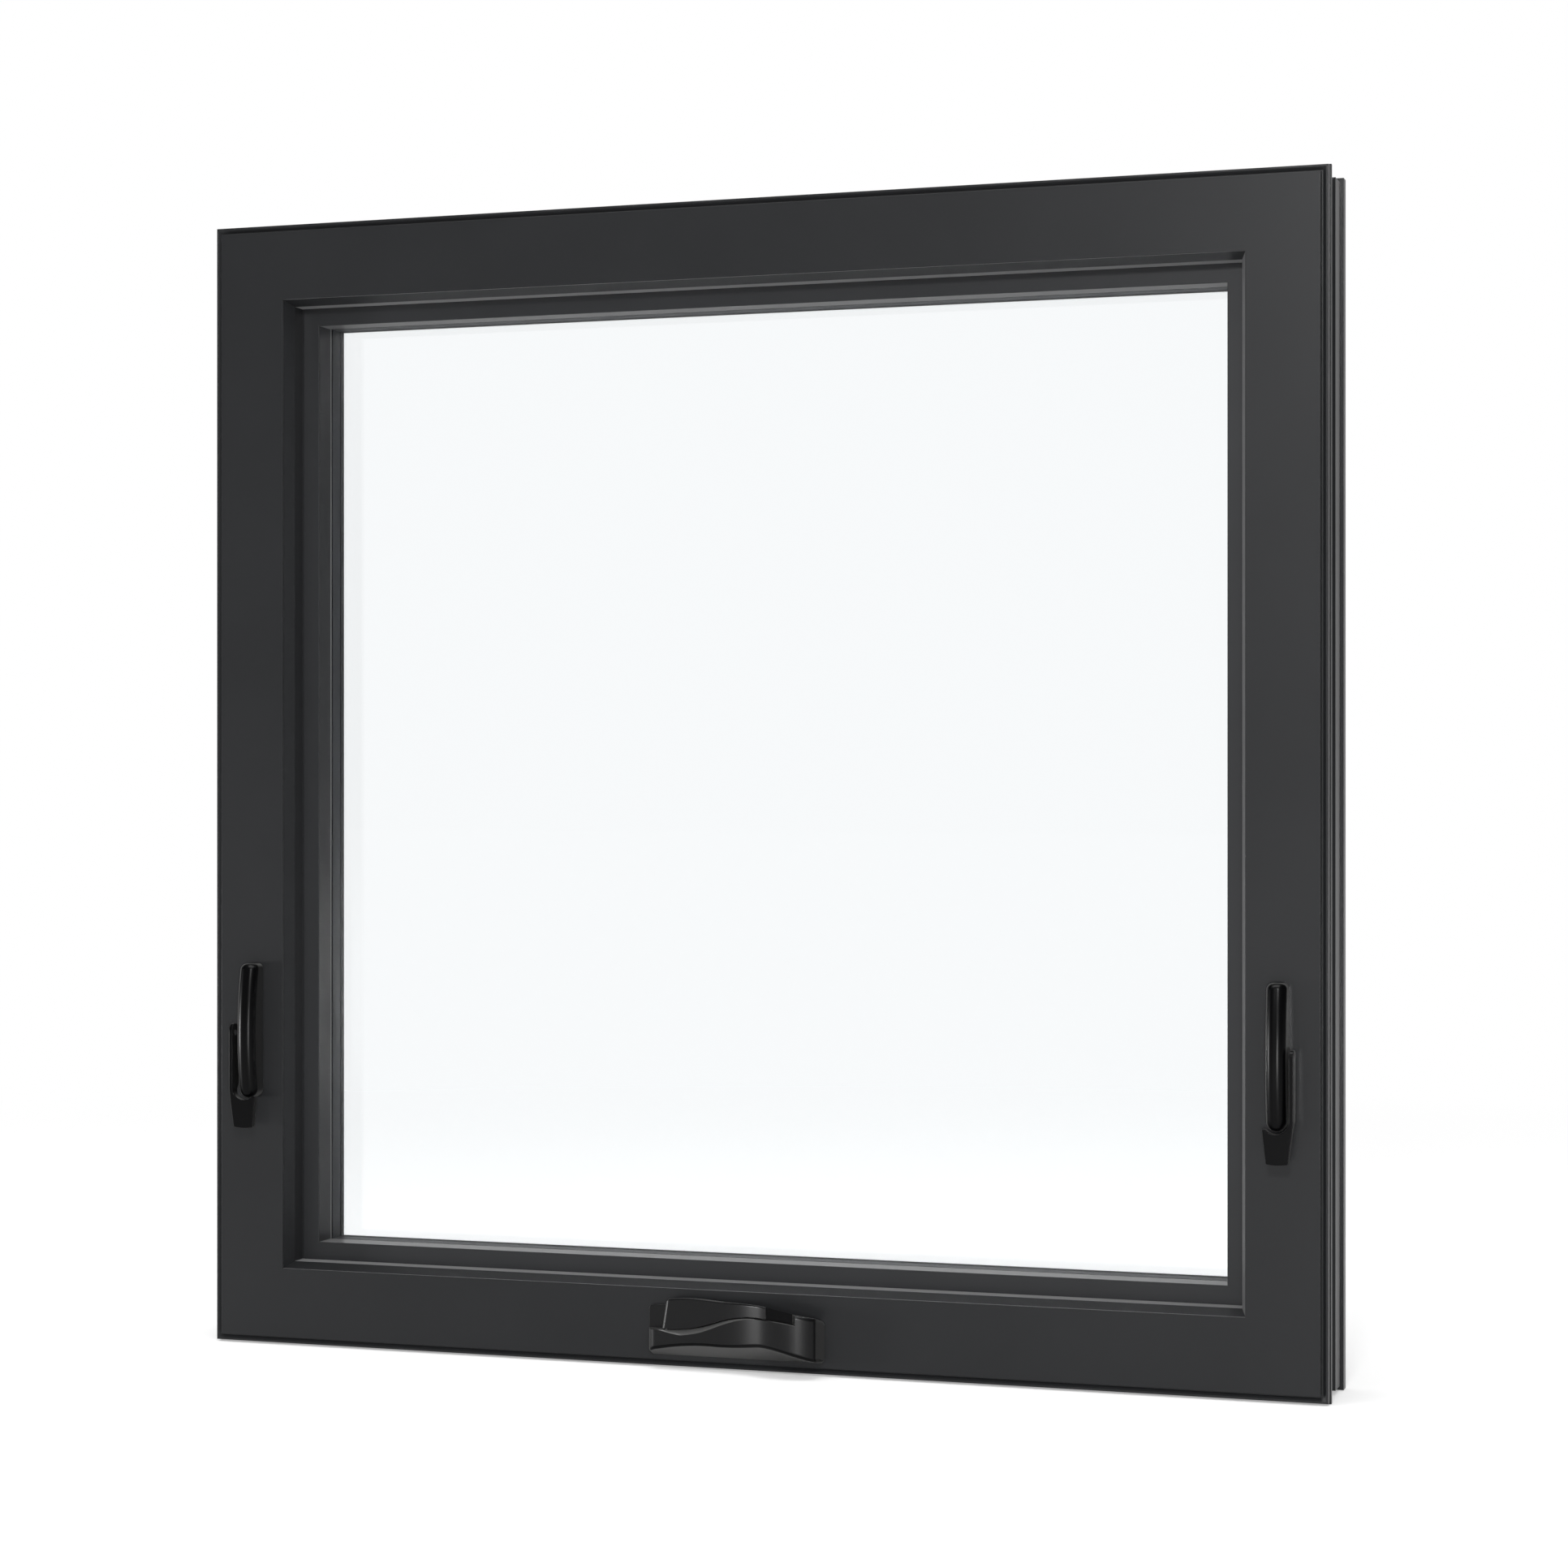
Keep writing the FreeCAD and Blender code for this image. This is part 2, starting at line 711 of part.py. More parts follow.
# Crank operator: a moulded cover that leans out over the sill, low on the left and with a
# hump on the right; a folding handle that lies flush in it; a knob; the pin it folds on.
# Its front follows one swept line, given here as (place along X, height off the face).
SWEEP_START = ("crank_left + crank_end_run", "crank_start_height")
SWEEP_LOW = ("crank_rise_start", "crank_low_height")
SWEEP_MIDDLE = (
    "(crank_rise_start + crank_crest) / 2",
    "(crank_low_height + crank_high_height) / 2",
)
SWEEP_CREST = ("crank_crest", "crank_high_height")
SWEEP_END = ("crank_right - crank_end_slant", "crank_end_height")
# Each arc leaves its first point level and ends in its second
SWEEP_ARCS = [
    (SWEEP_LOW, SWEEP_START),
    (SWEEP_LOW, SWEEP_MIDDLE),
    (SWEEP_CREST, SWEEP_MIDDLE),
    (SWEEP_CREST, SWEEP_END),
]
PARTING_LOW = ("handle_pivot", "parting_left")
PARTING_MIDDLE = (
    "(handle_pivot + parting_high_place) / 2",
    "(parting_left + parting_high) / 2",
)
PARTING_HIGH = ("parting_high_place", "parting_high")
PARTING_END = ("nest_end + trim_margin", "parting_right")
PARTING_ARCS = [
    (PARTING_LOW, PARTING_MIDDLE),
    (PARTING_HIGH, PARTING_MIDDLE),
    (PARTING_HIGH, PARTING_END),
]


def along(arcs, places, second):
    """Outline points along a row of arcs; second turns a height into a sketch coordinate."""
    points = []
    for (level, other), start, end in zip(arcs, places, places[1:]):
        half = f"(({start}) + ({end})) / 2"
        via = (half, second(arc_height(half, level, other)))
        points.append((start, second(arc_height(start, level, other)), via))
    level, other = arcs[len(places) - 2]
    points.append((places[-1], second(arc_height(places[-1], level, other))))
    return points


def sunk_by(depth):
    """Turns a height off the sill face into a plan coordinate, sunk towards the wall."""
    return lambda height: at_depth(f"({depth}) - ({height})")


def trim(body, name, stations, above):
    """Cuts off all that lies over, or under, a surface drawn from the wall to the front."""
    sections = []
    for number, (place, wall_level, front_level) in enumerate(stations):
        section = new_sketch(body, "YZ_Plane", f"{name}_{number}", place)
        slope = f"(({front_level}) - ({wall_level})) / crank_high_height"
        behind = at_depth("trim_margin")
        before = at_depth("0 - crank_high_height - trim_margin")
        away = "crank_block_top + trim_margin" if above else "0"
        polygon(
            section,
            [
                (behind, f"({wall_level}) - {slope} * trim_margin"),
                (before, f"({front_level}) + {slope} * trim_margin"),
                (before, away),
                (behind, away),
            ],
        )
        sections.append(section)
    return cut_by_loft(body, name, sections)


def cut_by_loft(body, name, sections):
    before = body.Shape.Volume
    feature = body.newObject("PartDesign::SubtractiveLoft", name)
    feature.Profile = sections[0]
    feature.Sections = sections[1:]
    for section in sections:
        section.Visibility = False
    doc.recompute()
    if not body.Shape.Volume < before:
        raise RuntimeError(f"{name} cuts nothing")
    return feature


def trim_crown(body, name):
    half_level = "(crown_wall_left + crown_wall_right) / 2"
    stations = [
        ("crank_left - trim_margin", "crown_wall_left", "crown_left"),
        ("crown_middle_place", "crown_wall_left", "crown_middle"),
        ("crown_shoulder_place", half_level, "crown_shoulder"),
        ("crank_right + trim_margin", "crown_wall_right", "crown_right"),
    ]
    return trim(body, name, stations, above=True)


def trim_sole(body, name):
    stations = [
        ("crank_left - trim_margin", "crank_bottom", "sole_left"),
        ("sole_middle_place", "crank_bottom", "sole_middle"),
        ("sole_rise_place", "crank_bottom", "sole_rise"),
        ("crank_right + trim_margin", "crank_bottom", "sole_right"),
    ]
    return trim(body, name, stations, above=False)


def trim_parting(body, name, gap):
    """Cuts off all that lies under the line where the handle parts from the cover."""
    sketch = new_sketch(body, "XZ_Plane", name)
    places = [PARTING_LOW[0], PARTING_MIDDLE[0], PARTING_HIGH[0], PARTING_END[0]]
    line = along(PARTING_ARCS, places, lambda height: f"{height} - ({gap})")
    outline(
        sketch,
        [
            ("crank_left - trim_margin", "0 - trim_margin"),
            ("crank_left - trim_margin", f"parting_left - ({gap})"),
            *line,
            (PARTING_END[0], "0 - trim_margin"),
        ],
    )
    return pocket(body, sketch)


cover = new_body("crank_cover")
sweep_places = [
    SWEEP_START[0],
    SWEEP_LOW[0],
    SWEEP_MIDDLE[0],
    SWEEP_CREST[0],
    SWEEP_END[0],
]
plan = new_sketch(cover, "XY_Plane", "crank_plan", "trim_margin")
outline(
    plan,
    [
        (
            "crank_left",
            at_depth("0"),
            (
                "crank_left + crank_heel_run",
                at_depth("0 - crank_heel_height"),
            ),
        ),
        *along(SWEEP_ARCS, sweep_places, sunk_by("0")),
        ("crank_right", at_depth("0")),
    ],
)
pad(cover, plan, "crank_block_top - trim_margin")
trim_sole(cover, "crank_sole")
crowned = trim_crown(cover, "crank_crown")
shaped_edges = []
for number, edge in enumerate(crowned.Shape.Edges, start=1):
    if edge.CenterOfMass.y < value_of(at_depth("0 - crank_fillet")):
        shaped_edges.append(f"Edge{number}")
rounding(cover, crowned, shaped_edges, "crank_fillet")
# The finger scoop: a slope that rises towards the wall from a curved lip on the front up to
# the ledge under the handle
SCOOP_STATIONS = [
    ("scoop_start", "scoop_start_drop", SWEEP_ARCS[0], "parting_left"),
    ("scoop_deep", "scoop_deep_drop", SWEEP_ARCS[0], arc_height("scoop_deep", *PARTING_ARCS[0])),
    ("scoop_belly", "scoop_belly_drop", SWEEP_ARCS[0], arc_height("scoop_belly", *PARTING_ARCS[0])),
    ("scoop_middle", "scoop_middle_drop", SWEEP_ARCS[1], arc_height("scoop_middle", *PARTING_ARCS[1])),
    ("scoop_thin", "scoop_thin_drop", SWEEP_ARCS[1], arc_height("scoop_thin", *PARTING_ARCS[1])),
    ("scoop_end", "scoop_end_drop", SWEEP_ARCS[2], arc_height("scoop_end", *PARTING_ARCS[1])),
]
scoop_sections = []
for place, drop, sweep, parting in SCOOP_STATIONS:
    front = arc_height(place, *sweep)
    lip = f"({parting} - {drop})"
    section = new_sketch(cover, "YZ_Plane", place + "_section", place)
    before = at_depth(f"0 - {front} - trim_margin")
    polygon(
        section,
        [
            (before, f"{lip} - trim_margin"),
            (at_depth(f"handle_thickness - {front}"), f"{lip} + handle_thickness"),
            (before, f"{lip} + handle_thickness"),
        ],
    )
    scoop_sections.append(section)
cut_by_loft(cover, "crank_scoop", scoop_sections)

# The room that the handle and the knob take in the cover
nest = doc.addObject("PartDesign::Body", "crank_nest")
nest_plan = new_sketch(nest, "XY_Plane", "nest_plan")
floor = along(
    SWEEP_ARCS,
    ["handle_pivot", "crank_rise_start", SWEEP_MIDDLE[0], "crank_crest", "nest_end"],
    sunk_by("handle_thickness + nest_gap"),
)
clear = at_depth("0 - crank_high_height - trim_margin")
outline(
    nest_plan,
    [
        ("crank_left - trim_margin", clear),
        ("crank_left - trim_margin", floor[0][1]),
        *floor,
        ("nest_end", clear),
    ],
)
pad(nest, nest_plan, "crank_block_top")
trim_parting(nest, "nest_parting", "nest_gap")
cut = cover.newObject("PartDesign::Boolean", "crank_nest_cut")
cut.Type = "Cut"
cut.addObject(nest)
doc.recompute()

handle = new_body("crank_handle")
strip = new_sketch(handle, "XY_Plane", "handle_plan")
places = ["handle_pivot", "crank_rise_start", SWEEP_MIDDLE[0], "handle_end"]
front = along(SWEEP_ARCS, places, sunk_by("0"))
back = along(SWEEP_ARCS, places, sunk_by("handle_thickness"))
PIVOT_FRONT = arc_height("handle_pivot", SWEEP_LOW, SWEEP_START)
PIVOT_DEPTH = at_depth(f"handle_thickness / 2 - {PIVOT_FRONT}")
# The back runs the other way: each arc's point goes with the arc's far end
returning = [(*back[k + 1][:2], back[k][2]) for k in range(len(back) - 2, -1, -1)]
outline(
    strip,
    [
        *front,
        *returning,
        (*back[0][:2], ("handle_pivot - handle_thickness / 2", PIVOT_DEPTH)),
    ],
)
pad(handle, strip, "crank_block_top")
trim_crown(handle, "handle_crown")
trim_parting(handle, "handle_parting", "0")
lean = new_sketch(handle, "XZ_Plane", "handle_end_lean")
polygon(
    lean,
    [
        ("handle_pivot - handle_thickness / 2", "parting_left"),
        ("handle_pivot - handle_thickness / 2 + handle_lean", "crown_left"),
        ("crank_left", "crown_left"),
        ("crank_left", "parting_left"),
    ],
)
pocket(handle, lean)
bore = new_sketch(handle, "XY_Plane", "handle_bore")
circle(bore, ("handle_pivot", PIVOT_DEPTH), "fold_pin_radius + pin_clearance")
pocket(handle, bore, "parting_left + fold_pin_depth + nest_gap", reverse=True)

hinge_pin = new_body("crank_fold_pin")
pin_circle = new_sketch(hinge_pin, "XY_Plane", "fold_pin_circle", "parting_left - nest_gap")
circle(pin_circle, ("handle_pivot", PIVOT_DEPTH), "fold_pin_radius")
pad(hinge_pin, pin_circle, "nest_gap + fold_pin_depth")

knob = new_body("crank_knob")
knob_plan = new_sketch(knob, "XY_Plane", "knob_plan")
polygon(
    knob_plan,
    [
        ("handle_end", at_depth("0 - knob_back")),
        ("handle_end", at_depth("0 - knob_front")),
        ("nest_end - knob_gap", at_depth("0 - knob_front")),
        ("nest_end - knob_gap", at_depth("0 - knob_back")),
    ],
)
pad(knob, knob_plan, "crank_block_top")
trim_crown(knob, "knob_crown")
trim_parting(knob, "knob_parting", "0")

doc.recompute()
for item in doc.Objects:
    if "Invalid" in item.State or "Error" in item.State:
        raise RuntimeError(f"{item.Label} failed: {item.State}")
for piece in pieces:
    if piece.Shape.isNull() or not piece.Shape.isValid():
        raise RuntimeError(f"{piece.Label} has no valid shape")

os.makedirs("parts", exist_ok=True)
for piece in pieces:
    piece.Shape.exportStep(f"parts/{piece.Label}.step")
    print(piece.Label, round(piece.Shape.Volume), len(piece.Shape.Solids))
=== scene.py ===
import json
import math
import bpy
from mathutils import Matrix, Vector
import numpy as np


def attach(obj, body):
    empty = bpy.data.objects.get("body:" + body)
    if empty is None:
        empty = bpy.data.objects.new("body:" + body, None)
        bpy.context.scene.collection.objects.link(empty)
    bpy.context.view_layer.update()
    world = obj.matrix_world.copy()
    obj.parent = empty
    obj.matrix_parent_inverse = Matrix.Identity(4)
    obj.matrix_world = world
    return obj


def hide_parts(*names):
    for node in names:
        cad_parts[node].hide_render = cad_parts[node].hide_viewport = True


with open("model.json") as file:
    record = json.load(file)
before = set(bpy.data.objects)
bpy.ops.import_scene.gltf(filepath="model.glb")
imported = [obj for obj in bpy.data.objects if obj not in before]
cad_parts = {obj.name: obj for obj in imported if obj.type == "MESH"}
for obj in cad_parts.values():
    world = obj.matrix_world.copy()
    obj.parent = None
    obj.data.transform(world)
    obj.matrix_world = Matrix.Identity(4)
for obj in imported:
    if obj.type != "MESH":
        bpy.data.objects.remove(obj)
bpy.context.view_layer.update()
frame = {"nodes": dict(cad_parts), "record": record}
print("frame loaded:", len(frame["nodes"]), "nodes")

# Top hung awning window, seen from the room. Metres, X right, Y outside, Z up.


def linkIn(tree, pairs):
    # output and input sockets joined in pairs
    for source, target in pairs:
        tree.links.new(source, target)


def mathNode(tree, operation, *values):
    # a Math node whose inputs are each a socket or a number
    node = tree.nodes.new("ShaderNodeMath")
    node.operation = operation
    for k, value in enumerate(values):
        if isinstance(value, (int, float)):
            node.inputs[k].default_value = value
        else:
            tree.links.new(value, node.inputs[k])
    return node.outputs[0]


def groupSockets(group, direction, kinds):
    # a group's named inputs or outputs, each with its kind
    for name, kind in kinds.items():
        group.interface.new_socket(name=name, in_out=direction, socket_type="NodeSocket" + kind)


# how the coat's fine grain and its slow clouds are made, for every coated finish
coatPattern = {
    "grainDetail": 3, "grainRoughness": 0.6, "cloudScale": 9, "cloudDetail": 4, "cloudMean": 0.5,
}


def powderCoatAndPaintedSheenGroup():
    # fine orange peel of a sprayed coat, slow cloudy drift of its tone, and a painted sheen: a
    # lighter colour that takes over where the surface is seen at a slant, standing in for
    # reflected light, and fades again at its very edge
    group = bpy.data.node_groups.new("powderCoatAndPaintedSheen", "ShaderNodeTree")
    groupSockets(group, "INPUT", {
        "Paint": "Color", "Grain Scale": "Float", "Cloud Amount": "Float",
        "Base Roughness": "Float", "Roughness Spread": "Float", "Painted Sheen": "Color",
        "Painted Sheen Start": "Float", "Painted Sheen Full": "Float", "Painted Sheen Fade": "Float", "Graze": "Float",
    })
    groupSockets(group, "OUTPUT", {"Color": "Color", "Roughness": "Float", "Height": "Float"})
    nodes = group.nodes
    entry = nodes.new("NodeGroupInput")
    leave = nodes.new("NodeGroupOutput")
    place = nodes.new("ShaderNodeTexCoord")
    grain = nodes.new("ShaderNodeTexNoise")
    grain.inputs["Detail"].default_value = coatPattern["grainDetail"]
    grain.inputs["Roughness"].default_value = coatPattern["grainRoughness"]
    cloud = nodes.new("ShaderNodeTexNoise")
    cloud.inputs["Scale"].default_value = coatPattern["cloudScale"]
    cloud.inputs["Detail"].default_value = coatPattern["cloudDetail"]
    centred = mathNode(group, "SUBTRACT", cloud.outputs["Fac"], coatPattern["cloudMean"])
    drift = mathNode(group, "MULTIPLY", centred, entry.outputs["Cloud Amount"])
    roughness = mathNode(
        group, "MULTIPLY_ADD", centred, entry.outputs["Roughness Spread"],
        entry.outputs["Base Roughness"],
    )
    paintedSheenShare = nodes.new("ShaderNodeMapRange")
    paintedSheenShare.interpolation_type = "SMOOTHSTEP"
    paintedSheenFade = nodes.new("ShaderNodeMapRange")
    paintedSheenFade.interpolation_type = "SMOOTHSTEP"
    paintedSheenFade.inputs["To Min"].default_value = 1.0
    paintedSheenFade.inputs["To Max"].default_value = 0.0
    paintedSheenLeft = mathNode(group, "MULTIPLY", paintedSheenShare.outputs["Result"], paintedSheenFade.outputs["Result"])
    paintedSheenMixed = nodes.new("ShaderNodeMix")
    paintedSheenMixed.data_type = "RGBA"
    tone = nodes.new("ShaderNodeVectorMath")
    tone.operation = "SCALE"
    linkIn(
        group,
        [
            (place.outputs["Object"], grain.inputs["Vector"]),
            (entry.outputs["Grain Scale"], grain.inputs["Scale"]),
            (place.outputs["Object"], cloud.inputs["Vector"]),
            (entry.outputs["Graze"], paintedSheenShare.inputs["Value"]),
            (entry.outputs["Painted Sheen Start"], paintedSheenShare.inputs["From Min"]),
            (entry.outputs["Painted Sheen Full"], paintedSheenShare.inputs["From Max"]),
            (entry.outputs["Graze"], paintedSheenFade.inputs["Value"]),
            (entry.outputs["Painted Sheen Fade"], paintedSheenFade.inputs["From Min"]),
            (paintedSheenLeft, paintedSheenMixed.inputs[0]),
            (entry.outputs["Paint"], paintedSheenMixed.inputs[6]),
            (entry.outputs["Painted Sheen"], paintedSheenMixed.inputs[7]),
            (paintedSheenMixed.outputs[2], tone.inputs[0]),
            (mathNode(group, "ADD", drift, 1), tone.inputs["Scale"]),
            (tone.outputs[0], leave.inputs["Color"]),
            (roughness, leave.inputs["Roughness"]),
            (grain.outputs["Fac"], leave.inputs["Height"]),
        ],
    )
    return group


powderCoatAndPaintedSheen = powderCoatAndPaintedSheenGroup()
# which value of a look goes to which socket
coatSockets = {
    "Paint": "paint", "Grain Scale": "grainScale", "Cloud Amount": "cloud",
    "Base Roughness": "roughness", "Roughness Spread": "roughnessSpread", "Painted Sheen": "paintedSheen",
    "Painted Sheen Start": "paintedSheenStart", "Painted Sheen Full": "paintedSheenFull", "Painted Sheen Fade": "paintedSheenFade",
}
bumpSockets = {"Strength": "bump", "Distance": "bumpDepth"}
shaderSockets = {
    "Specular IOR Level": "specular", "Coat Weight": "coat", "Coat Roughness": "coatRoughness",
}


def coatedMaterial(name, look):
    # a shader fed by the coat's colour with its painted sheen, its roughness and fine relief
    material = bpy.data.materials.new(name)
    material.use_nodes = True
    tree = material.node_tree
    shader = tree.nodes["Principled BSDF"]
    coat = tree.nodes.new("ShaderNodeGroup")
    coat.node_tree = powderCoatAndPaintedSheen
    facing = tree.nodes.new("ShaderNodeLayerWeight")
    bump = tree.nodes.new("ShaderNodeBump")
    for node, sockets in ((coat, coatSockets), (bump, bumpSockets), (shader, shaderSockets)):
        for socket, key in sockets.items():
            value = look[key]
            node.inputs[socket].default_value = (*value, 1) if key in ("paint", "paintedSheen") else value
    linkIn(
        tree,
        [
            (facing.outputs["Facing"], coat.inputs["Graze"]),
            (coat.outputs["Color"], shader.inputs["Base Color"]),
            (coat.outputs["Roughness"], shader.inputs["Roughness"]),
            (coat.outputs["Height"], bump.inputs["Height"]),
            (bump.outputs["Normal"], shader.inputs["Normal"]),
        ],
    )
    return material


# each look's sheen colour is a painted sheen: a lighter colour mixed into the paint where the
# surface is seen at a slant, standing in for reflected light, fading again at the very edge
plainCoat = {
    "cloud": 0.2, "roughnessSpread": 0.05, "bump": 0.15, "bumpDepth": 0.00005, "coat": 0.0,
    "coatRoughness": 0.3, "paintedSheenStart": 0.6, "paintedSheenFull": 0.9, "paintedSheenFade": 0.999,
}
framePaintLook = dict(
    plainCoat, paint=(0.0168, 0.0174, 0.0188), grainScale=1500, cloud=0.25, roughness=0.42,
    bump=0.25, specular=0.25, coat=0.25, coatRoughness=0.2,
    paintedSheen=(0.27, 0.27, 0.273), paintedSheenStart=0.74, paintedSheenFull=0.88,
)
# the sash's paint is lighter than the frame's though both are the same anthracite: painted light
# that lifts the shade of the sash's recess
sashPaintedLightLook = dict(
    framePaintLook, paint=(0.0262, 0.027, 0.029), paintedSheen=(0.19, 0.19, 0.192)
)
hardwareLook = dict(
    plainCoat, paint=(0.0012, 0.0012, 0.0015), grainScale=1100, cloud=0.1, roughness=0.28,
    roughnessSpread=0.06, bump=0.3, bumpDepth=0.00004, specular=0.2,
    paintedSheen=(0.088, 0.088, 0.086), paintedSheenStart=0.5, paintedSheenFull=0.68, paintedSheenFade=0.74,
)
crankLook = dict(
    hardwareLook, paint=(0.0035, 0.0035, 0.004), roughness=0.29, specular=0.5,
    paintedSheen=(0.06, 0.06, 0.059), paintedSheenStart=0.42, paintedSheenFull=0.66,
)
# the crank's own black painted light grey, for the scoop and the sole: painted light standing in
# for light from below
scoopAndSolePaintedLightLook = dict(crankLook, paint=(0.08, 0.08, 0.079), paintedSheen=(0.08, 0.08, 0.079))
rubberLook = dict(
    plainCoat, paint=(0.01, 0.01, 0.011), grainScale=700, cloud=0.3, roughness=0.75,
    roughnessSpread=0.08, bump=0.4, bumpDepth=0.0001, specular=0.35, paintedSheen=(0.02, 0.02, 0.021),
)
paneGasketLook = dict(
    rubberLook, paint=(0.24, 0.24, 0.245), cloud=0.2, roughness=0.7, paintedSheen=(0.3, 0.3, 0.305)
)
spacerLook = dict(
    plainCoat, paint=(0.07, 0.074, 0.082), grainScale=900, roughness=0.45, specular=0.5,
    paintedSheen=(0.14, 0.145, 0.155),
)
steelLook = dict(
    spacerLook, paint=(0.06, 0.06, 0.062), roughness=0.35, specular=0.6, paintedSheen=(0.12, 0.12, 0.12)
)
glassLook = {"tint": (0.985, 0.995, 1.0), "ior": 1.5}


def glassMaterial(name):
    # clear float glass with a faint cool tint in its body
    material = bpy.data.materials.new(name)
    material.use_nodes = True
    shader = material.node_tree.nodes["Principled BSDF"]
    shader.inputs["Base Color"].default_value = (*glassLook["tint"], 1)
    shader.inputs["Transmission Weight"].default_value = 1
    shader.inputs["Roughness"].default_value = 0.0
    shader.inputs["IOR"].default_value = glassLook["ior"]
    return material


materials = {
    "frame_paint": coatedMaterial("anthraciteFrameCoat", framePaintLook),
    "sash_paint": coatedMaterial("anthraciteSashPaintedLightCoat", sashPaintedLightLook),
    "hardware_black": coatedMaterial("blackHardwareCoat", hardwareLook),
    "seal_rubber": coatedMaterial("sealRubber", rubberLook),
    "spacer_bar": coatedMaterial("greySpacerBar", spacerLook),
    "hardware_steel": coatedMaterial("darkSteelPin", steelLook),
    "window_glass": glassMaterial("clearGlass"),
}
paneGasket = coatedMaterial("greyPaneGasket", paneGasketLook)
crankCoat = coatedMaterial("blackCrankCoat", crankLook)
scoopAndSolePaintedLightCoat = coatedMaterial("scoopAndSolePaintedLightCoat", scoopAndSolePaintedLightLook)
slotOfNode = {row["node"]: row["material_slot"] for row in frame["record"]["subparts"]}
print("materials ready")

# half the window's width, its height and its room face in metres, millimetres to the metre,
# and the points on each of a rail's bends
windowForm = {"half": 0.5, "height": 1, "roomFace": 0.07775, "perMetre": 1000, "arcSteps": 5}


def roundedLoop(corners, steps):
    # closed outline: each corner (a, b, radius) becomes an arc that touches both its sides;
    # the arc's points are centre + radius * (cos, sin) swept between the two touching points
    data = np.array(corners, float)
    points, radii = data[:, :2], data[:, 2]
    following = np.roll(points, -1, axis=0)
    before = np.roll(points, 1, axis=0) - points
    after = following - points
    before /= np.linalg.norm(before, axis=1)[:, None]
    after /= np.linalg.norm(after, axis=1)[:, None]
    half = np.arccos(np.clip(np.sum(before * after, axis=1), -1, 1)) / 2
    middle = before + after
    middle /= np.linalg.norm(middle, axis=1)[:, None]
    centre = points + middle * (radii / np.sin(half))[:, None]
    share = np.linspace(-1, 1, steps)[None, :, None]
    turn = share * (math.pi / 2 - half)[:, None, None]
    outward = -middle[:, None, :]
    across = np.stack([-outward[..., 1], outward[..., 0]], axis=-1)
    towards = np.sign(np.sum(across[:, 0] * after, axis=1))[:, None, None]
    normals = outward * np.cos(turn) + across * towards * np.sin(turn)
    loop = centre[:, None, :] + normals * radii[:, None, None]
    # at an inner corner the arc's outward direction points into the solid
    area = np.sum(points[:, 0] * following[:, 1] - points[:, 1] * following[:, 0])
    cross = before[:, 0] * after[:, 1] - before[:, 1] * after[:, 0]
    inner = (np.sign(cross) == np.sign(area))[:, None, None]
    normals = np.where(inner, -normals, normals)
    return loop.reshape(-1, 2), normals.reshape(-1, 2)


def inFrame(side, inset, depth, along):
    # a section point (inset from the outline, depth from the room face) placed on one side
    half, y = windowForm["half"], depth - windowForm["roomFace"]
    if side == "sill":
        return np.stack([along, y, inset], axis=-1)
    if side == "head":
        return np.stack([along, y, windowForm["height"] - inset], axis=-1)
    if side == "left":
        return np.stack([inset - half, y, half + along], axis=-1)
    return np.stack([half - inset, y, half + along], axis=-1)


def directionInFrame(side, across, back):
    # the same placing for a direction in the section
    flat = np.zeros_like(across)
    if side == "sill":
        return np.stack([flat, back, across], axis=-1)
    if side == "head":
        return np.stack([flat, back, -across], axis=-1)
    if side == "left":
        return np.stack([across, back, flat], axis=-1)
    return np.stack([-across, back, flat], axis=-1)


def newPiece(name, points, faces, loopNormals, nodeName, body, material):
    # a smooth mesh that rides on a body and takes the place of one CAD node
    mesh = bpy.data.meshes.new(name)
    mesh.from_pydata(points.tolist(), [], faces)
    mesh.polygons.foreach_set("use_smooth", [True] * len(faces))
    mesh.normals_split_custom_set(loopNormals.tolist())
    mesh.update()
    mesh.materials.append(material)
    piece = bpy.data.objects.new(name, mesh)
    bpy.context.scene.collection.objects.link(piece)
    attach(piece, body)
    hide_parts(nodeName)
    return piece


def mitredRail(name, side, corners, nodeName):
    # the section carried along one side; each point's run ends where the mitre cuts it,
    # at half the side's length less the point's own inset
    loop, normals = roundedLoop(corners, windowForm["arcSteps"])
    loop = loop / windowForm["perMetre"]
    inset, depth = loop[:, 0], loop[:, 1]
    count, reach = len(loop), windowForm["half"] - inset
    points = np.concatenate([inFrame(side, inset, depth, along) for along in (-reach, reach)])
    k = np.arange(count)
    following = (k + 1) % count
    quads = np.stack([k, following, following + count, k + count], axis=1)
    outward = directionInFrame(side, normals[:, 0], normals[:, 1])
    first = points[quads[0]]
    facing = np.cross(first[1] - first[0], first[2] - first[0]) @ outward[0]
    if facing < 0:
        quads = quads[:, ::-1]
    sides = outward[quads % count].reshape(-1, 3)
    caps = [k[::-1], k + count] if facing > 0 else [k, k[::-1] + count]
    ends = []
    for cap in caps:
        ring = points[cap]
        normal = np.sum(np.cross(ring, np.roll(ring, -1, axis=0)), axis=0)
        ends.append(np.tile(normal / np.linalg.norm(normal), (count, 1)))
    newPiece(
        name, points, quads.tolist() + [cap.tolist() for cap in caps],
        np.concatenate([sides, *ends]), nodeName, "window", materials[slotOfNode[nodeName]],
    )


for nodeName, node in frame["nodes"].items():
    finish = paneGasket if "glazing_gasket" in nodeName else materials[slotOfNode[nodeName]]
    node.material_slots[0].link = "OBJECT"
    node.material_slots[0].material = finish
print("finishes on the frame's nodes:", len(slotOfNode))

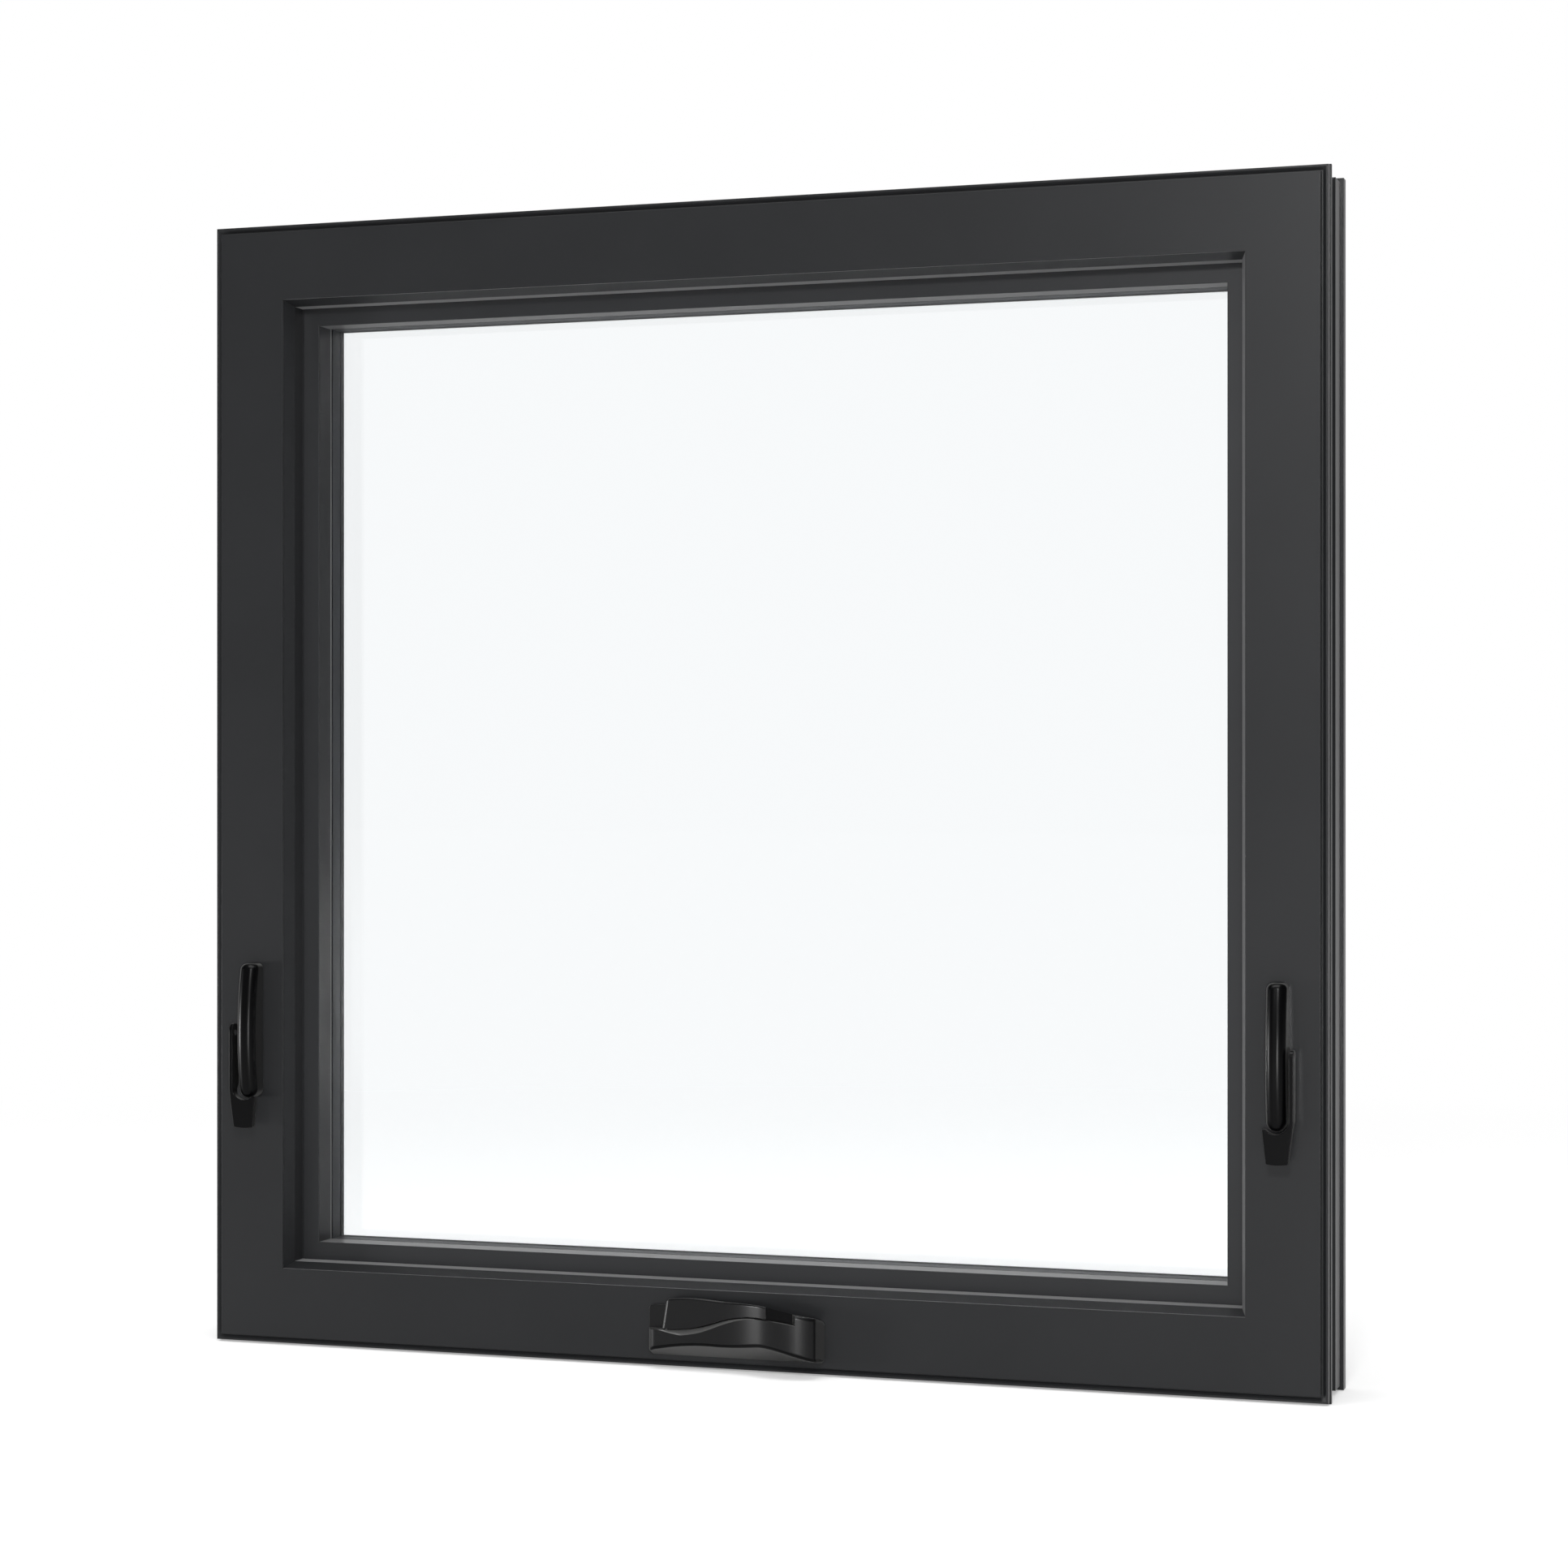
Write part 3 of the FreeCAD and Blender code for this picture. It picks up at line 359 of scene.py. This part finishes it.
# insets and depths of each section in millimetres, each corner with its radius
frameSection = [
    (0, 15, 0.4), (0, 10, 0.5), (1.25, 10, 0.2), (1.25, 2.5, 0.5), (3, 2.5, 0.5),
    (5.5, 4.8, 0.2), (6.7, 4.8, 0.2), (7.1, 0, 0.35), (68.1, 0, 0.35), (68.1, 1.8, 0.2),
    (73, 14, 0.8), (73, 30, 0.4), (40, 30, 0.4), (40, 87.5, 0.5), (1, 87.5, 0.3),
    (0, 86.5, 0.3), (0, 75.2, 0.4), (3.2, 75.2, 0.3), (3.2, 52.8, 0.6), (14, 42, 1.0),
    (14, 15, 0.8),
]
sashSection = [
    (52, 31.5, 0.4), (72, 31.5, 0.2), (72, 82.5, 0.2), (88.3, 82.5, 0.3), (88.3, 85.5, 0.4),
    (86.3, 87.5, 0.4), (43, 87.5, 0.5), (43, 79.5, 0.4), (52, 79.5, 0.3),
]
beadSection = [
    (72, 31.5, 0.25), (88.5, 31.5, 0.6), (88.5, 54.9, 0.3), (72, 54.9, 0.3),
]
railSets = (
    ("frameRail", frameSection, "frame_",
     {"head": "head", "sill": "sill", "jamb_left": "left", "jamb_right": "right"}),
    ("sashRail", sashSection, "sash_",
     {"top_rail": "head", "bottom_rail": "sill", "left_stile": "left", "right_stile": "right"}),
    ("glazingBead", beadSection, "glazing_bead_",
     {"top": "head", "bottom": "sill", "left": "left", "right": "right"}),
)
for name, section, prefix, sides in railSets:
    for part, side in sides.items():
        mitredRail(f"{name}.{side}", side, section, prefix + part)
print("rails with rounded arrises ready")

# Crank operator in millimetres: x along the sill, h off the sill's face, z up. Its front and
# its parting line follow arcs that each leave one point level and end in another.
crankForm = {
    "left": -82, "heel": (-80.5, 6.6), "start": (-72, 11), "low": (-20, 14),
    "middle": (22, 24.5), "crest": (44, 30), "end": (71.7, 20.75), "right": 75,
    "beforeEnd": 67.0, "wallShare": 0.999, "thinnest": 0.02,
    "bottom": 11, "endBend": 9.5, "tipBend": 4, "fullHeight": 30, "soleShare": 0.45,
    "coverBends": (0.2, 5, 0.4, 0.3, 0.5, 0.8, 0.3), "tailBends": (0.2, 5, 3, 0.3),
    "nestEnd": 57.5, "nestGap": 1, "nestShare": 0.92, "scoopShare": 0.6, "ledgeShare": 0.4,
    "crownShares": ((0.98, 0.9), (0.76, 0.7)),
    "pivot": -64, "handleThickness": 7.5, "handleEnd": 31.8, "handleTipBend": 3,
    "handleBends": (0.4, 0.6, 1.6, 0.4), "tipStart": 0.03,
    "handleLean": 6, "handleTop": 72, "leanEnd": -30,
    "partings": ((-64, 35), (-19, 42.75), (26, 50.5), (62.5, 46)),
    "soles": ((-87, 24), (-25, 37.5), (25, 29), (80, 15)),
    "crowns": ((-87, 72), (5, 69), (50, 57.5), (80, 54.5)),
    "crownWalls": ((-87, 52), (5, 52), (50, 49.25), (80, 46.5)),
    "scoop": (
        (-76, 1.25), (-70, 1.4), (-50, 5.4), (-33, 5.1), (-13, 3.8), (10, 1.75), (24, 1.25),
    ),
    "arcSteps": 7, "heelSteps": 16, "nestSteps": 84, "tailSteps": 9, "cornerSteps": 12,
    "wallSteps": 9, "handleTipSteps": 9, "handleSteps": 66,
}


def arcHeight(x, level, other):
    # the arc that is level at one point and passes through the other: its radius is the sum
    # of the squares of reach and rise over twice the rise
    reach, rise = other[0] - level[0], other[1] - level[1]
    radius = (reach**2 + rise**2) / (2 * abs(rise))
    drop = radius - np.sqrt(np.maximum(radius**2 - (x - level[0]) ** 2, 0))
    return level[1] + np.sign(rise) * drop


def sweepHeight(x):
    # how far the front stands off the sill's face at x: four arcs, level at low and at crest
    form = crankForm
    left = np.where(x < form["low"][0], arcHeight(x, form["low"], form["start"]),
                    arcHeight(x, form["low"], form["middle"]))
    right = np.where(x < form["crest"][0], arcHeight(x, form["crest"], form["middle"]),
                     arcHeight(x, form["crest"], form["end"]))
    return np.where(x < form["middle"][0], left, right)


def partingLevel(x):
    # the line between cover and handle: three arcs, level at its first and its third point
    low, middle, high, end = crankForm["partings"]
    x = np.maximum(x, low[0])
    left = np.where(x < middle[0], arcHeight(x, low, middle), arcHeight(x, high, middle))
    return np.where(x < high[0], left, arcHeight(x, high, end))


def smoothThrough(x, points):
    # the cubic through four points
    places, values = np.array(points, float).T
    return np.polyval(np.polyfit(places, values, 3), x)


def endBend(x, start, radius):
    # how far a quarter circle of this radius has dropped at x, counted from its start
    past = np.clip(x - start, 0, radius)
    return radius - np.sqrt(radius**2 - past**2)


def crownLevel(x, h):
    # the top, a straight slope from its level at the wall to its level at the front
    wall = smoothThrough(x, crankForm["crownWalls"])
    front = smoothThrough(x, crankForm["crowns"])
    return wall + (front - wall) * h / crankForm["fullHeight"]


def circleThrough(points):
    # centre and radius of the circle through three points
    three = np.array(points, float)
    gaps = 2 * (three[1:] - three[0])
    centre = np.linalg.solve(gaps, np.sum(three[1:] ** 2, axis=1) - np.sum(three[0] ** 2))
    return centre, np.linalg.norm(three[0] - centre)


def fitBend(radius, room, share=0.3):
    # a corner's radius, cut to a share of the room it has
    return min(radius, share * room)


def sectionLoops(sections, steps):
    # rounded outlines of a row of sections, and their flat normals
    pairs = [roundedLoop(corners, steps) for corners in sections]
    return np.array([loop for loop, flat in pairs]), np.array([flat for loop, flat in pairs])


def sweptNormals(points, flat, lean, axes):
    # across both directions of the grid: along the stations and along the section
    along = np.gradient(points, axis=0)
    around = np.stack([lean * flat[..., 0], -flat[..., 1], flat[..., 0]], axis=-1) @ axes
    normals = np.cross(along, around)
    outward = np.stack([np.zeros_like(lean), flat[..., 0], flat[..., 1]], axis=-1) @ axes
    normals *= np.sign(np.sum(normals * outward, axis=-1))[..., None]
    size, tiny = np.linalg.norm(normals, axis=-1)[..., None], 1e-9
    return np.where(size > tiny, normals / np.maximum(size, tiny), outward)


def sweptPiece(name, blocks, nodeName, body, material, axes, origin):
    # each block is (stations, loops, flat normals, lean); the blocks follow on from each other
    # and flat walls close the steps between them; the rows of axes are the directions of
    # the stations and of the loops' two numbers
    axes = np.array(axes, float)
    shift = np.array([origin / windowForm["perMetre"], -windowForm["roomFace"], 0])
    leanLevel = crankForm["partings"][0][1]
    grids, smooth = [], []
    for x, loops, flat, lean in blocks:
        leans = np.broadcast_to(lean[:, None], loops.shape[:2])
        across = x[:, None] + leans * (loops[..., 1] - leanLevel)
        grid = np.stack([across, loops[..., 0], loops[..., 1]], axis=-1) @ axes
        grid = grid / windowForm["perMetre"] + shift
        grids.append(grid)
        smooth.append(sweptNormals(grid, flat, leans, axes))
    stations, count = sum(len(grid) for grid in grids), grids[0].shape[1]
    points = np.concatenate(grids).reshape(-1, 3)
    normals = np.concatenate(smooth).reshape(-1, 3)
    s, v = np.meshgrid(np.arange(stations - 1), np.arange(count), indexing="ij")
    near, far, following = s * count, (s + 1) * count, (v + 1) % count
    quads = np.stack([near + v, near + following, far + following, far + v], axis=-1)
    quads = quads.reshape(-1, 4)
    steps = np.zeros(stations - 1, bool)
    steps[np.cumsum([len(grid) for grid in grids])[:-1] - 1] = True
    isStep = np.repeat(steps, count)
    corner = points[quads]
    facing = np.cross(corner[:, 1] - corner[:, 0], corner[:, 3] - corner[:, 0])
    if np.sum(facing[~isStep] * normals[quads[~isStep, 0]]) < 0:
        quads = quads[:, ::-1]
    loopNormals = normals[quads]
    loopNormals[isStep] = -axes[0]
    caps, capNormals = [], []
    for start, side in ((0, -1.0), ((stations - 1) * count, 1.0)):
        cap = start + np.arange(count)
        normal = np.sum(np.cross(points[cap], np.roll(points[cap], -1, axis=0)), axis=0)
        caps.append((cap[::-1] if normal @ axes[0] * side < 0 else cap).tolist())
        capNormals.append(np.tile(side * axes[0], (count, 1)))
    return newPiece(
        name, points, quads.tolist() + caps,
        np.concatenate([loopNormals.reshape(-1, 3), *capNormals]), nodeName, body, material,
    )


def coverPath():
    # the front's line in plan: rounded heel, sweep, rounded corner, end wall
    form = crankForm
    heel = np.array([(form["left"], 0), form["heel"], form["start"]], float)
    centre, radius = circleThrough(heel)
    turns = np.arctan2(*(heel[[0, 2]] - centre).T[::-1]) % (2 * math.pi)
    turn = np.linspace(turns[0], turns[1], form["heelSteps"])
    heelPoints = centre + radius * np.stack([np.cos(turn), np.sin(turn)], axis=-1)
    corner, foot = np.array(form["end"], float), np.array([form["right"], 0.0])
    behind = np.array([form["beforeEnd"], sweepHeight(np.array(form["beforeEnd"]))])
    back = (behind - corner) / np.linalg.norm(behind - corner)
    ahead = (foot - corner) / np.linalg.norm(foot - corner)
    half = math.acos(back @ ahead) / 2
    reach = form["endBend"] / math.tan(half)
    middle = (back + ahead) / np.linalg.norm(back + ahead)
    hub = corner + middle * form["endBend"] / math.sin(half)
    share = np.linspace(-1, 1, form["cornerSteps"])[:, None] * (math.pi / 2 - half)
    side = ahead - middle * (ahead @ middle)
    side /= np.linalg.norm(side)
    bend = hub + form["endBend"] * (-middle * np.cos(share) + side * np.sin(share))
    down = np.linspace(0, form["wallShare"], form["wallSteps"])[1:, None]
    wall = bend[-1] + (foot - bend[-1]) * down
    nested = np.linspace(form["start"][0], form["nestEnd"], form["nestSteps"])[1:]
    tail = np.linspace(form["nestEnd"], (corner + back * reach)[0], form["tailSteps"])[:-1]
    first = np.concatenate([heelPoints, np.stack([nested, sweepHeight(nested)], axis=-1)])
    second = np.concatenate([np.stack([tail, sweepHeight(tail)], axis=-1), bend, wall])
    for path in (first, second):
        path[:, 1] = np.maximum(path[:, 1], form["thinnest"])
    return first, second


def coverCorners(x, h):
    # sole and crown of the section at x where the front stands h off the face
    form = crankForm
    bend = endBend(x, form["right"] - form["tipBend"], form["tipBend"])
    bend = bend + endBend(-x, -form["left"] - form["tipBend"], form["tipBend"])
    sole = form["bottom"] + bend
    rise = (smoothThrough(x, form["soles"]) - form["bottom"]) * h / form["fullHeight"]
    return sole, sole + rise, bend


def nestSection(x, h):
    # corners of the cover's section at x, where the handle lies in its nest
    form, bends = crankForm, crankForm["coverBends"]
    sole, front, bend = coverCorners(x, h)
    behindHandle = sweepHeight(np.array(max(x, form["pivot"]))) - form["handleThickness"]
    floor = min(float(behindHandle - form["nestGap"]), form["nestShare"] * h)
    ledge = float(partingLevel(np.array(x))) - form["nestGap"]
    drop = np.interp(x, *np.array(form["scoop"]).T) - form["nestGap"]
    drop = min(drop, form["scoopShare"] * (h - floor))
    return [
        (0, sole, fitBend(bends[0], h)),
        (h, front, fitBend(bends[1], h, form["soleShare"])),
        (h, ledge - drop, fitBend(bends[2], drop, form["ledgeShare"])),
        (h - drop, ledge, fitBend(bends[3], drop)),
        (floor, ledge, fitBend(bends[4], h - drop - floor)),
        (floor, crownLevel(x, floor) - bend, fitBend(bends[5], floor)),
        (0, crownLevel(x, 0) - bend, fitBend(bends[6], floor)),
    ]


def tailSection(x, h):
    # corners of the cover's section at x, right of the nest
    bends = crankForm["tailBends"]
    sole, front, bend = coverCorners(x, h)
    return [
        (0, sole, fitBend(bends[0], h)),
        (h, front, fitBend(bends[1], h, crankForm["soleShare"])),
        (h, crownLevel(x, h) - bend, fitBend(bends[2], h)),
        (0, crownLevel(x, 0) - bend, fitBend(bends[3], h)),
    ]


def coverBlocks():
    # the cover in two blocks, with the nest and right of it
    steps = crankForm["arcSteps"]
    nested, tail = coverPath()
    nestLoops, nestFlats = sectionLoops([nestSection(x, h) for x, h in nested], steps)
    loops, flats = sectionLoops([tailSection(x, h) for x, h in tail], steps)
    # the tail's crown takes the points of the three corners that only the nest has
    frontShares, backShares = crankForm["crownShares"]
    shares = np.concatenate(
        [np.linspace(*frontShares, steps), np.linspace(*backShares, 2 * steps)]
    )
    crown = 3 * steps
    after, before = loops[:, crown, None], loops[:, crown - 1, None]
    line = after + (before - after) * shares[:, None]
    lineFlats = np.repeat(flats[:, crown : crown + 1], len(shares), axis=1)
    loops = np.concatenate([loops[:, :crown], line, loops[:, crown:]], axis=1)
    flats = np.concatenate([flats[:, :crown], lineFlats, flats[:, crown:]], axis=1)
    return [
        (nested[:, 0], nestLoops, nestFlats, np.zeros(len(nested))),
        (tail[:, 0], loops, flats, np.zeros(len(tail))),
    ]


def handleBlocks():
    # the handle follows the cover's front at its own thickness, from a round tip at the pivot
    form = crankForm
    pivot, half = form["pivot"], form["handleThickness"] / 2
    tip = pivot - half * np.cos(np.linspace(form["tipStart"], math.pi / 2, form["handleTipSteps"]))
    x = np.concatenate([tip[:-1], np.linspace(pivot, form["handleEnd"], form["handleSteps"])])
    hub = float(sweepHeight(np.array(pivot))) - half
    circle = np.sqrt(np.maximum(half**2 - (x - pivot) ** 2, 0))
    front = np.where(x < pivot, hub + circle, sweepHeight(x))
    back = np.where(x < pivot, hub - circle, sweepHeight(x) - 2 * half)
    bend = endBend(-x, -(pivot - half) - form["handleTipBend"], form["handleTipBend"])
    level, depth = partingLevel(x), front - back
    frontTop, backTop = crownLevel(x, front) - bend, crownLevel(x, back) - bend
    bends = form["handleBends"]
    sections = [
        [
            (back[k], level[k], fitBend(bends[0], depth[k])),
            (front[k], level[k], fitBend(bends[1], depth[k])),
            (front[k], frontTop[k], fitBend(bends[2], depth[k])),
            (back[k], backTop[k], fitBend(bends[3], depth[k])),
        ]
        for k in range(len(x))
    ]
    loops, flats = sectionLoops(sections, form["arcSteps"])
    slant = form["handleLean"] / (form["handleTop"] - form["partings"][0][1])
    lean = slant * np.clip((form["leanEnd"] - x) / (form["leanEnd"] - pivot), 0, 1)
    return [(x, loops, flats, lean)]


alongSill = ((1, 0, 0), (0, -1, 0), (0, 0, 1))
cover = sweptPiece(
    "crankCover", coverBlocks(), "crank_cover", "window", crankCoat, alongSill, 0
)
sweptPiece(
    "crankHandle", handleBlocks(), "crank_handle", "crank_arm", crankCoat, alongSill, 0
)

# the scoop's slanted face under the handle and the sole's flat face get a lighter finish, painted
# light that stands in for the light reaching them from below, and the bend between the sole and
# the front a darker
# one, painted shade: each is a run of faces round the section, and the scoop's also ends at an x
# on either side
faceForm = {"scoop": (18, 24), "sole": (6, 8), "bend": (8, 12), "scoopReach": (-0.0705, 0.02)}
cover.data.materials.append(scoopAndSolePaintedLightCoat)
cover.data.materials.append(materials["hardware_black"])
faces = cover.data.polygons
middles = np.empty(3 * len(faces))
faces.foreach_get("center", middles)
turn = np.arange(len(faces)) % (len(crankForm["coverBends"]) * crankForm["arcSteps"])
scoop, sole, bend = (
    (turn >= faceForm[key][0]) & (turn < faceForm[key][1]) for key in ("scoop", "sole", "bend")
)
reachStart, reachEnd = faceForm["scoopReach"]
scoop = scoop & (middles[::3] > reachStart) & (middles[::3] < reachEnd)
# index 1 paints light on the scoop and the sole, index 2 paints shade on the bend
faces.foreach_set("material_index", np.where(bend, 2, scoop | sole).astype(np.int32))
print("crank operator's softly bent skins ready")

# Lock housings: a bar with a half-round foot, rounded shoulders and a front that bows out,
# on the circle through its heights at foot, crown and top
lockForm = {
    "middle": 40.5, "halfWidth": 8.5, "bottom": 220.4, "top": 340, "shoulder": 5,
    "heights": ((220.4, 17), (282.4, 22.5), (340, 15.5)), "frontBend": 7.5, "backBend": 0.2,
    "endBend": 4.5, "wideShare": 0.95, "highShare": 0.8, "firstTurn": 0.06,
    "arcSteps": 9, "turnSteps": 14, "barSteps": 42,
}


def lockBlocks():
    # half width and height of the bar at each z, both drawn in by quarter circles at its ends
    form = lockForm
    half = form["halfWidth"]
    turn = np.linspace(form["firstTurn"], math.pi / 2, form["turnSteps"])
    foot = form["bottom"] + half * (1 - np.cos(turn))
    shoulder = form["top"] - form["shoulder"] * (1 - np.cos(turn[::-1]))
    bar = np.linspace(foot[-1], shoulder[0], form["barSteps"])[1:-1]
    z = np.concatenate([foot, bar, shoulder])
    past = np.clip(form["bottom"] + half - z, 0, half)
    wide = np.sqrt(half**2 - past**2)
    wide = wide - endBend(z, form["top"] - form["shoulder"], form["shoulder"])
    centre, radius = circleThrough(form["heights"])
    high = centre[1] + np.sqrt(radius**2 - (z - centre[0]) ** 2)
    high -= endBend(z, form["top"] - form["endBend"], form["endBend"])
    high -= endBend(-z, -form["bottom"] - form["endBend"], form["endBend"])
    sections = []
    for w, h in zip(wide, high):
        bend = min(form["frontBend"], form["wideShare"] * w, form["highShare"] * h)
        back = fitBend(form["backBend"], w)
        sections.append([(-w, 0, back), (-w, h, bend), (w, h, bend), (w, 0, back)])
    return [(z, *sectionLoops(sections, form["arcSteps"]), np.zeros(len(z)))]


upJamb = ((0, 0, 1), (1, 0, 0), (0, -1, 0))
lockPlace = windowForm["half"] * windowForm["perMetre"] - lockForm["middle"]
for side, sign in (("left", -1), ("right", 1)):
    sweptPiece(
        "lockHousing." + side, lockBlocks(), f"lock_{side}_housing", "window",
        materials["hardware_black"], upJamb, sign * lockPlace,
    )
print("lock housings ready")

# Floor and backdrop: white to the camera, quieter in reflections, plain pale for light
stageLook = {
    "floorTone": 0.8,
    "floorRoughness": 0.9,
    "floorGlow": 0.36,
    "farStart": 1.0,
    "farEnd": 2.6,
    "floorSize": 60,
    "floorDrop": 0.0005,
    "glossShare": 0.35,
}


def rampNode(tree, value, start, end, low, high):
    # a Map Range node that takes start to low and end to high
    node = tree.nodes.new("ShaderNodeMapRange")
    ends = {"From Min": start, "From Max": end, "To Min": low, "To Max": high}
    for name, number in ends.items():
        node.inputs[name].default_value = number
    tree.links.new(value, node.inputs["Value"])
    return node.outputs["Result"]


def raysOf(tree, depth):
    # two shares: the eye, straight or through the panes, and gloss, straight or through them;
    # what comes back off the panes' own faces to the room side, depth < 0, counts as seen
    path = tree.nodes.new("ShaderNodeLightPath")
    through = path.outputs["Is Transmission Ray"]
    glossed = mathNode(tree, "GREATER_THAN", path.outputs["Glossy Depth"], 0.5)
    bounced = mathNode(tree, "ADD", path.outputs["Glossy Depth"], path.outputs["Diffuse Depth"])
    fresh = mathNode(tree, "LESS_THAN", bounced, 0.5)
    fresh = mathNode(tree, "MAXIMUM", fresh, mathNode(tree, "LESS_THAN", depth, 0))
    freshThrough = mathNode(tree, "MULTIPLY", through, fresh)
    eye = mathNode(tree, "MAXIMUM", path.outputs["Is Camera Ray"], freshThrough)
    later = mathNode(tree, "SUBTRACT", 1, fresh)
    glossThrough = mathNode(tree, "MULTIPLY", through, mathNode(tree, "MULTIPLY", glossed, later))
    gloss = mathNode(tree, "MAXIMUM", path.outputs["Is Glossy Ray"], glossThrough)
    return eye, mathNode(tree, "MULTIPLY", gloss, mathNode(tree, "SUBTRACT", 1, eye))


def paleFloorMaterial():
    # a pale floor that keeps shadows near the object; far away, for the eye, it glows evenly
    # white like the backdrop; in gloss it is quieter
    material = bpy.data.materials.new("paleFloor")
    material.use_nodes = True
    tree = material.node_tree
    shader = tree.nodes["Principled BSDF"]
    shader.inputs["Roughness"].default_value = stageLook["floorRoughness"]
    shader.inputs["Specular IOR Level"].default_value = 0
    shader.inputs["Emission Color"].default_value = (1, 1, 1, 1)
    place = tree.nodes.new("ShaderNodeTexCoord")
    split = tree.nodes.new("ShaderNodeSeparateXYZ")
    away = tree.nodes.new("ShaderNodeVectorMath")
    away.operation = "LENGTH"
    linkIn(
        tree,
        [
            (place.outputs["Object"], split.inputs["Vector"]),
            (place.outputs["Object"], away.inputs[0]),
        ],
    )
    eye, gloss = raysOf(tree, split.outputs["Y"])
    look = stageLook
    far = rampNode(tree, away.outputs["Value"], look["farStart"], look["farEnd"], 0, 1)
    farEye = mathNode(tree, "MULTIPLY", far, eye)
    nearShare = mathNode(tree, "SUBTRACT", 1, farEye)
    dimmed = mathNode(tree, "MULTIPLY", gloss, 1 - look["glossShare"])
    share = mathNode(tree, "MULTIPLY", nearShare, mathNode(tree, "SUBTRACT", 1, dimmed))
    tone = tree.nodes.new("ShaderNodeVectorMath")
    tone.operation = "SCALE"
    tone.inputs[0].default_value = (look["floorTone"],) * 3
    nearGlow = mathNode(tree, "MULTIPLY", share, look["floorGlow"])
    seenGlow = mathNode(tree, "MULTIPLY", nearGlow, mathNode(tree, "MAXIMUM", eye, gloss))
    linkIn(
        tree,
        [
            (share, tone.inputs["Scale"]),
            (tone.outputs[0], shader.inputs["Base Color"]),
            (mathNode(tree, "ADD", seenGlow, farEye), shader.inputs["Emission Strength"]),
        ],
    )
    return material


def floorPlane():
    # one large square just under the window, for the stage only
    half = stageLook["floorSize"] / 2
    mesh = bpy.data.meshes.new("floor")
    z = -stageLook["floorDrop"]
    corners = [(-half, -half, z), (half, -half, z), (half, half, z), (-half, half, z)]
    mesh.from_pydata(corners, [], [(0, 1, 2, 3)])
    floor = bpy.data.objects.new("floor", mesh)
    bpy.context.scene.collection.objects.link(floor)
    mesh.materials.append(paleFloorMaterial())


roomLook = {
    "light": 0.62,
    "roomInGloss": 0.1,
    "backdropInGloss": 0.8,
    "roomStart": 0.7,
    "backdropStart": 0.92,
    "quietLeft": -0.62,
    "fullLeft": -0.48,
    "fullSide": -0.22,
    "quietSide": -0.04,
    "quietShare": 0.2,
}


def whiteWorld():
    # even soft light; the eye sees white, and gloss sees a pale backdrop behind the window
    # and a quieter room on the side where the camera stands
    world = bpy.data.worlds.new("softRoom")
    bpy.context.scene.world = world
    world.use_nodes = True
    tree = world.node_tree
    background = tree.nodes["Background"]
    background.inputs["Color"].default_value = (1, 1, 1, 1)
    place = tree.nodes.new("ShaderNodeTexCoord")
    split = tree.nodes.new("ShaderNodeSeparateXYZ")
    tree.links.new(place.outputs["Generated"], split.inputs["Vector"])
    look = roomLook
    sideways, quiet = split.outputs["X"], look["quietShare"]
    eye, gloss = raysOf(tree, split.outputs["Y"])
    depth = rampNode(
        tree, split.outputs["Y"], look["roomStart"], look["backdropStart"],
        look["roomInGloss"], look["backdropInGloss"],
    )
    right = rampNode(tree, sideways, look["fullSide"], look["quietSide"], 1, quiet)
    left = rampNode(tree, sideways, look["quietLeft"], look["fullLeft"], quiet, 1)
    sided = mathNode(tree, "MULTIPLY", depth, mathNode(tree, "MULTIPLY", left, right))
    glossy = tree.nodes.new("ShaderNodeMix")
    glossy.inputs["A"].default_value = look["light"]
    seen = tree.nodes.new("ShaderNodeMix")
    seen.inputs["B"].default_value = 1.0
    linkIn(
        tree,
        [
            (gloss, glossy.inputs["Factor"]),
            (sided, glossy.inputs["B"]),
            (eye, seen.inputs["Factor"]),
            (glossy.outputs["Result"], seen.inputs["A"]),
            (seen.outputs["Result"], background.inputs["Strength"]),
        ],
    )


lampLooks = {
    "nearLamp": {
        "place": (0.66, -2.4, 1.5), "aim": (0, 0, 0.35), "size": (0.3, 0.35), "power": 20,
    },
    "leftLamp": {
        "place": (-2.7, -1.05, 0.13), "aim": (0, -0.1, 0.05), "size": (0.42, 0.24), "power": 24,
    },
    "lowLamp": {
        "place": (0.97, -2.5, 0.16), "aim": (0, -0.1, 0.05), "size": (0.2, 0.3), "power": 14,
    },
    "topLamp": {
        "place": (0, -0.7, 3.0), "aim": (0, -0.2, 0), "size": (2.4, 1.6), "power": 40,
    },
}


def softLamp(name, place, aim, size, power):
    # a rectangular area lamp at a place, turned to its aim
    data = bpy.data.lights.new(name, "AREA")
    data.shape = "RECTANGLE"
    data.size, data.size_y = size
    data.energy = power
    lamp = bpy.data.objects.new(name, data)
    bpy.context.scene.collection.objects.link(lamp)
    lamp.location = place
    direction = np.array(aim, float) - np.array(place, float)
    lamp.rotation_euler = Vector(direction).to_track_quat("-Z", "Y").to_euler()


floorPlane()
whiteWorld()
for name, look in lampLooks.items():
    softLamp(name, **look)
print("stage and lamps ready")

# The camera stands level with the window's middle, a little to the right of it
cameraLook = {
    "place": (0.9142, -2.7286, 0.5), "turn": 18.274, "lens": 75.678, "sensor": 36,
}
cameraData = bpy.data.cameras.new("camera")
cameraData.lens = cameraLook["lens"]
cameraData.sensor_width = cameraLook["sensor"]
camera = bpy.data.objects.new("camera", cameraData)
bpy.context.scene.collection.objects.link(camera)
camera.location = cameraLook["place"]
camera.rotation_euler = (math.radians(90), 0, math.radians(cameraLook["turn"]))
bpy.context.scene.camera = camera
bpy.context.scene.view_settings.view_transform = "Standard"
print("camera ready")
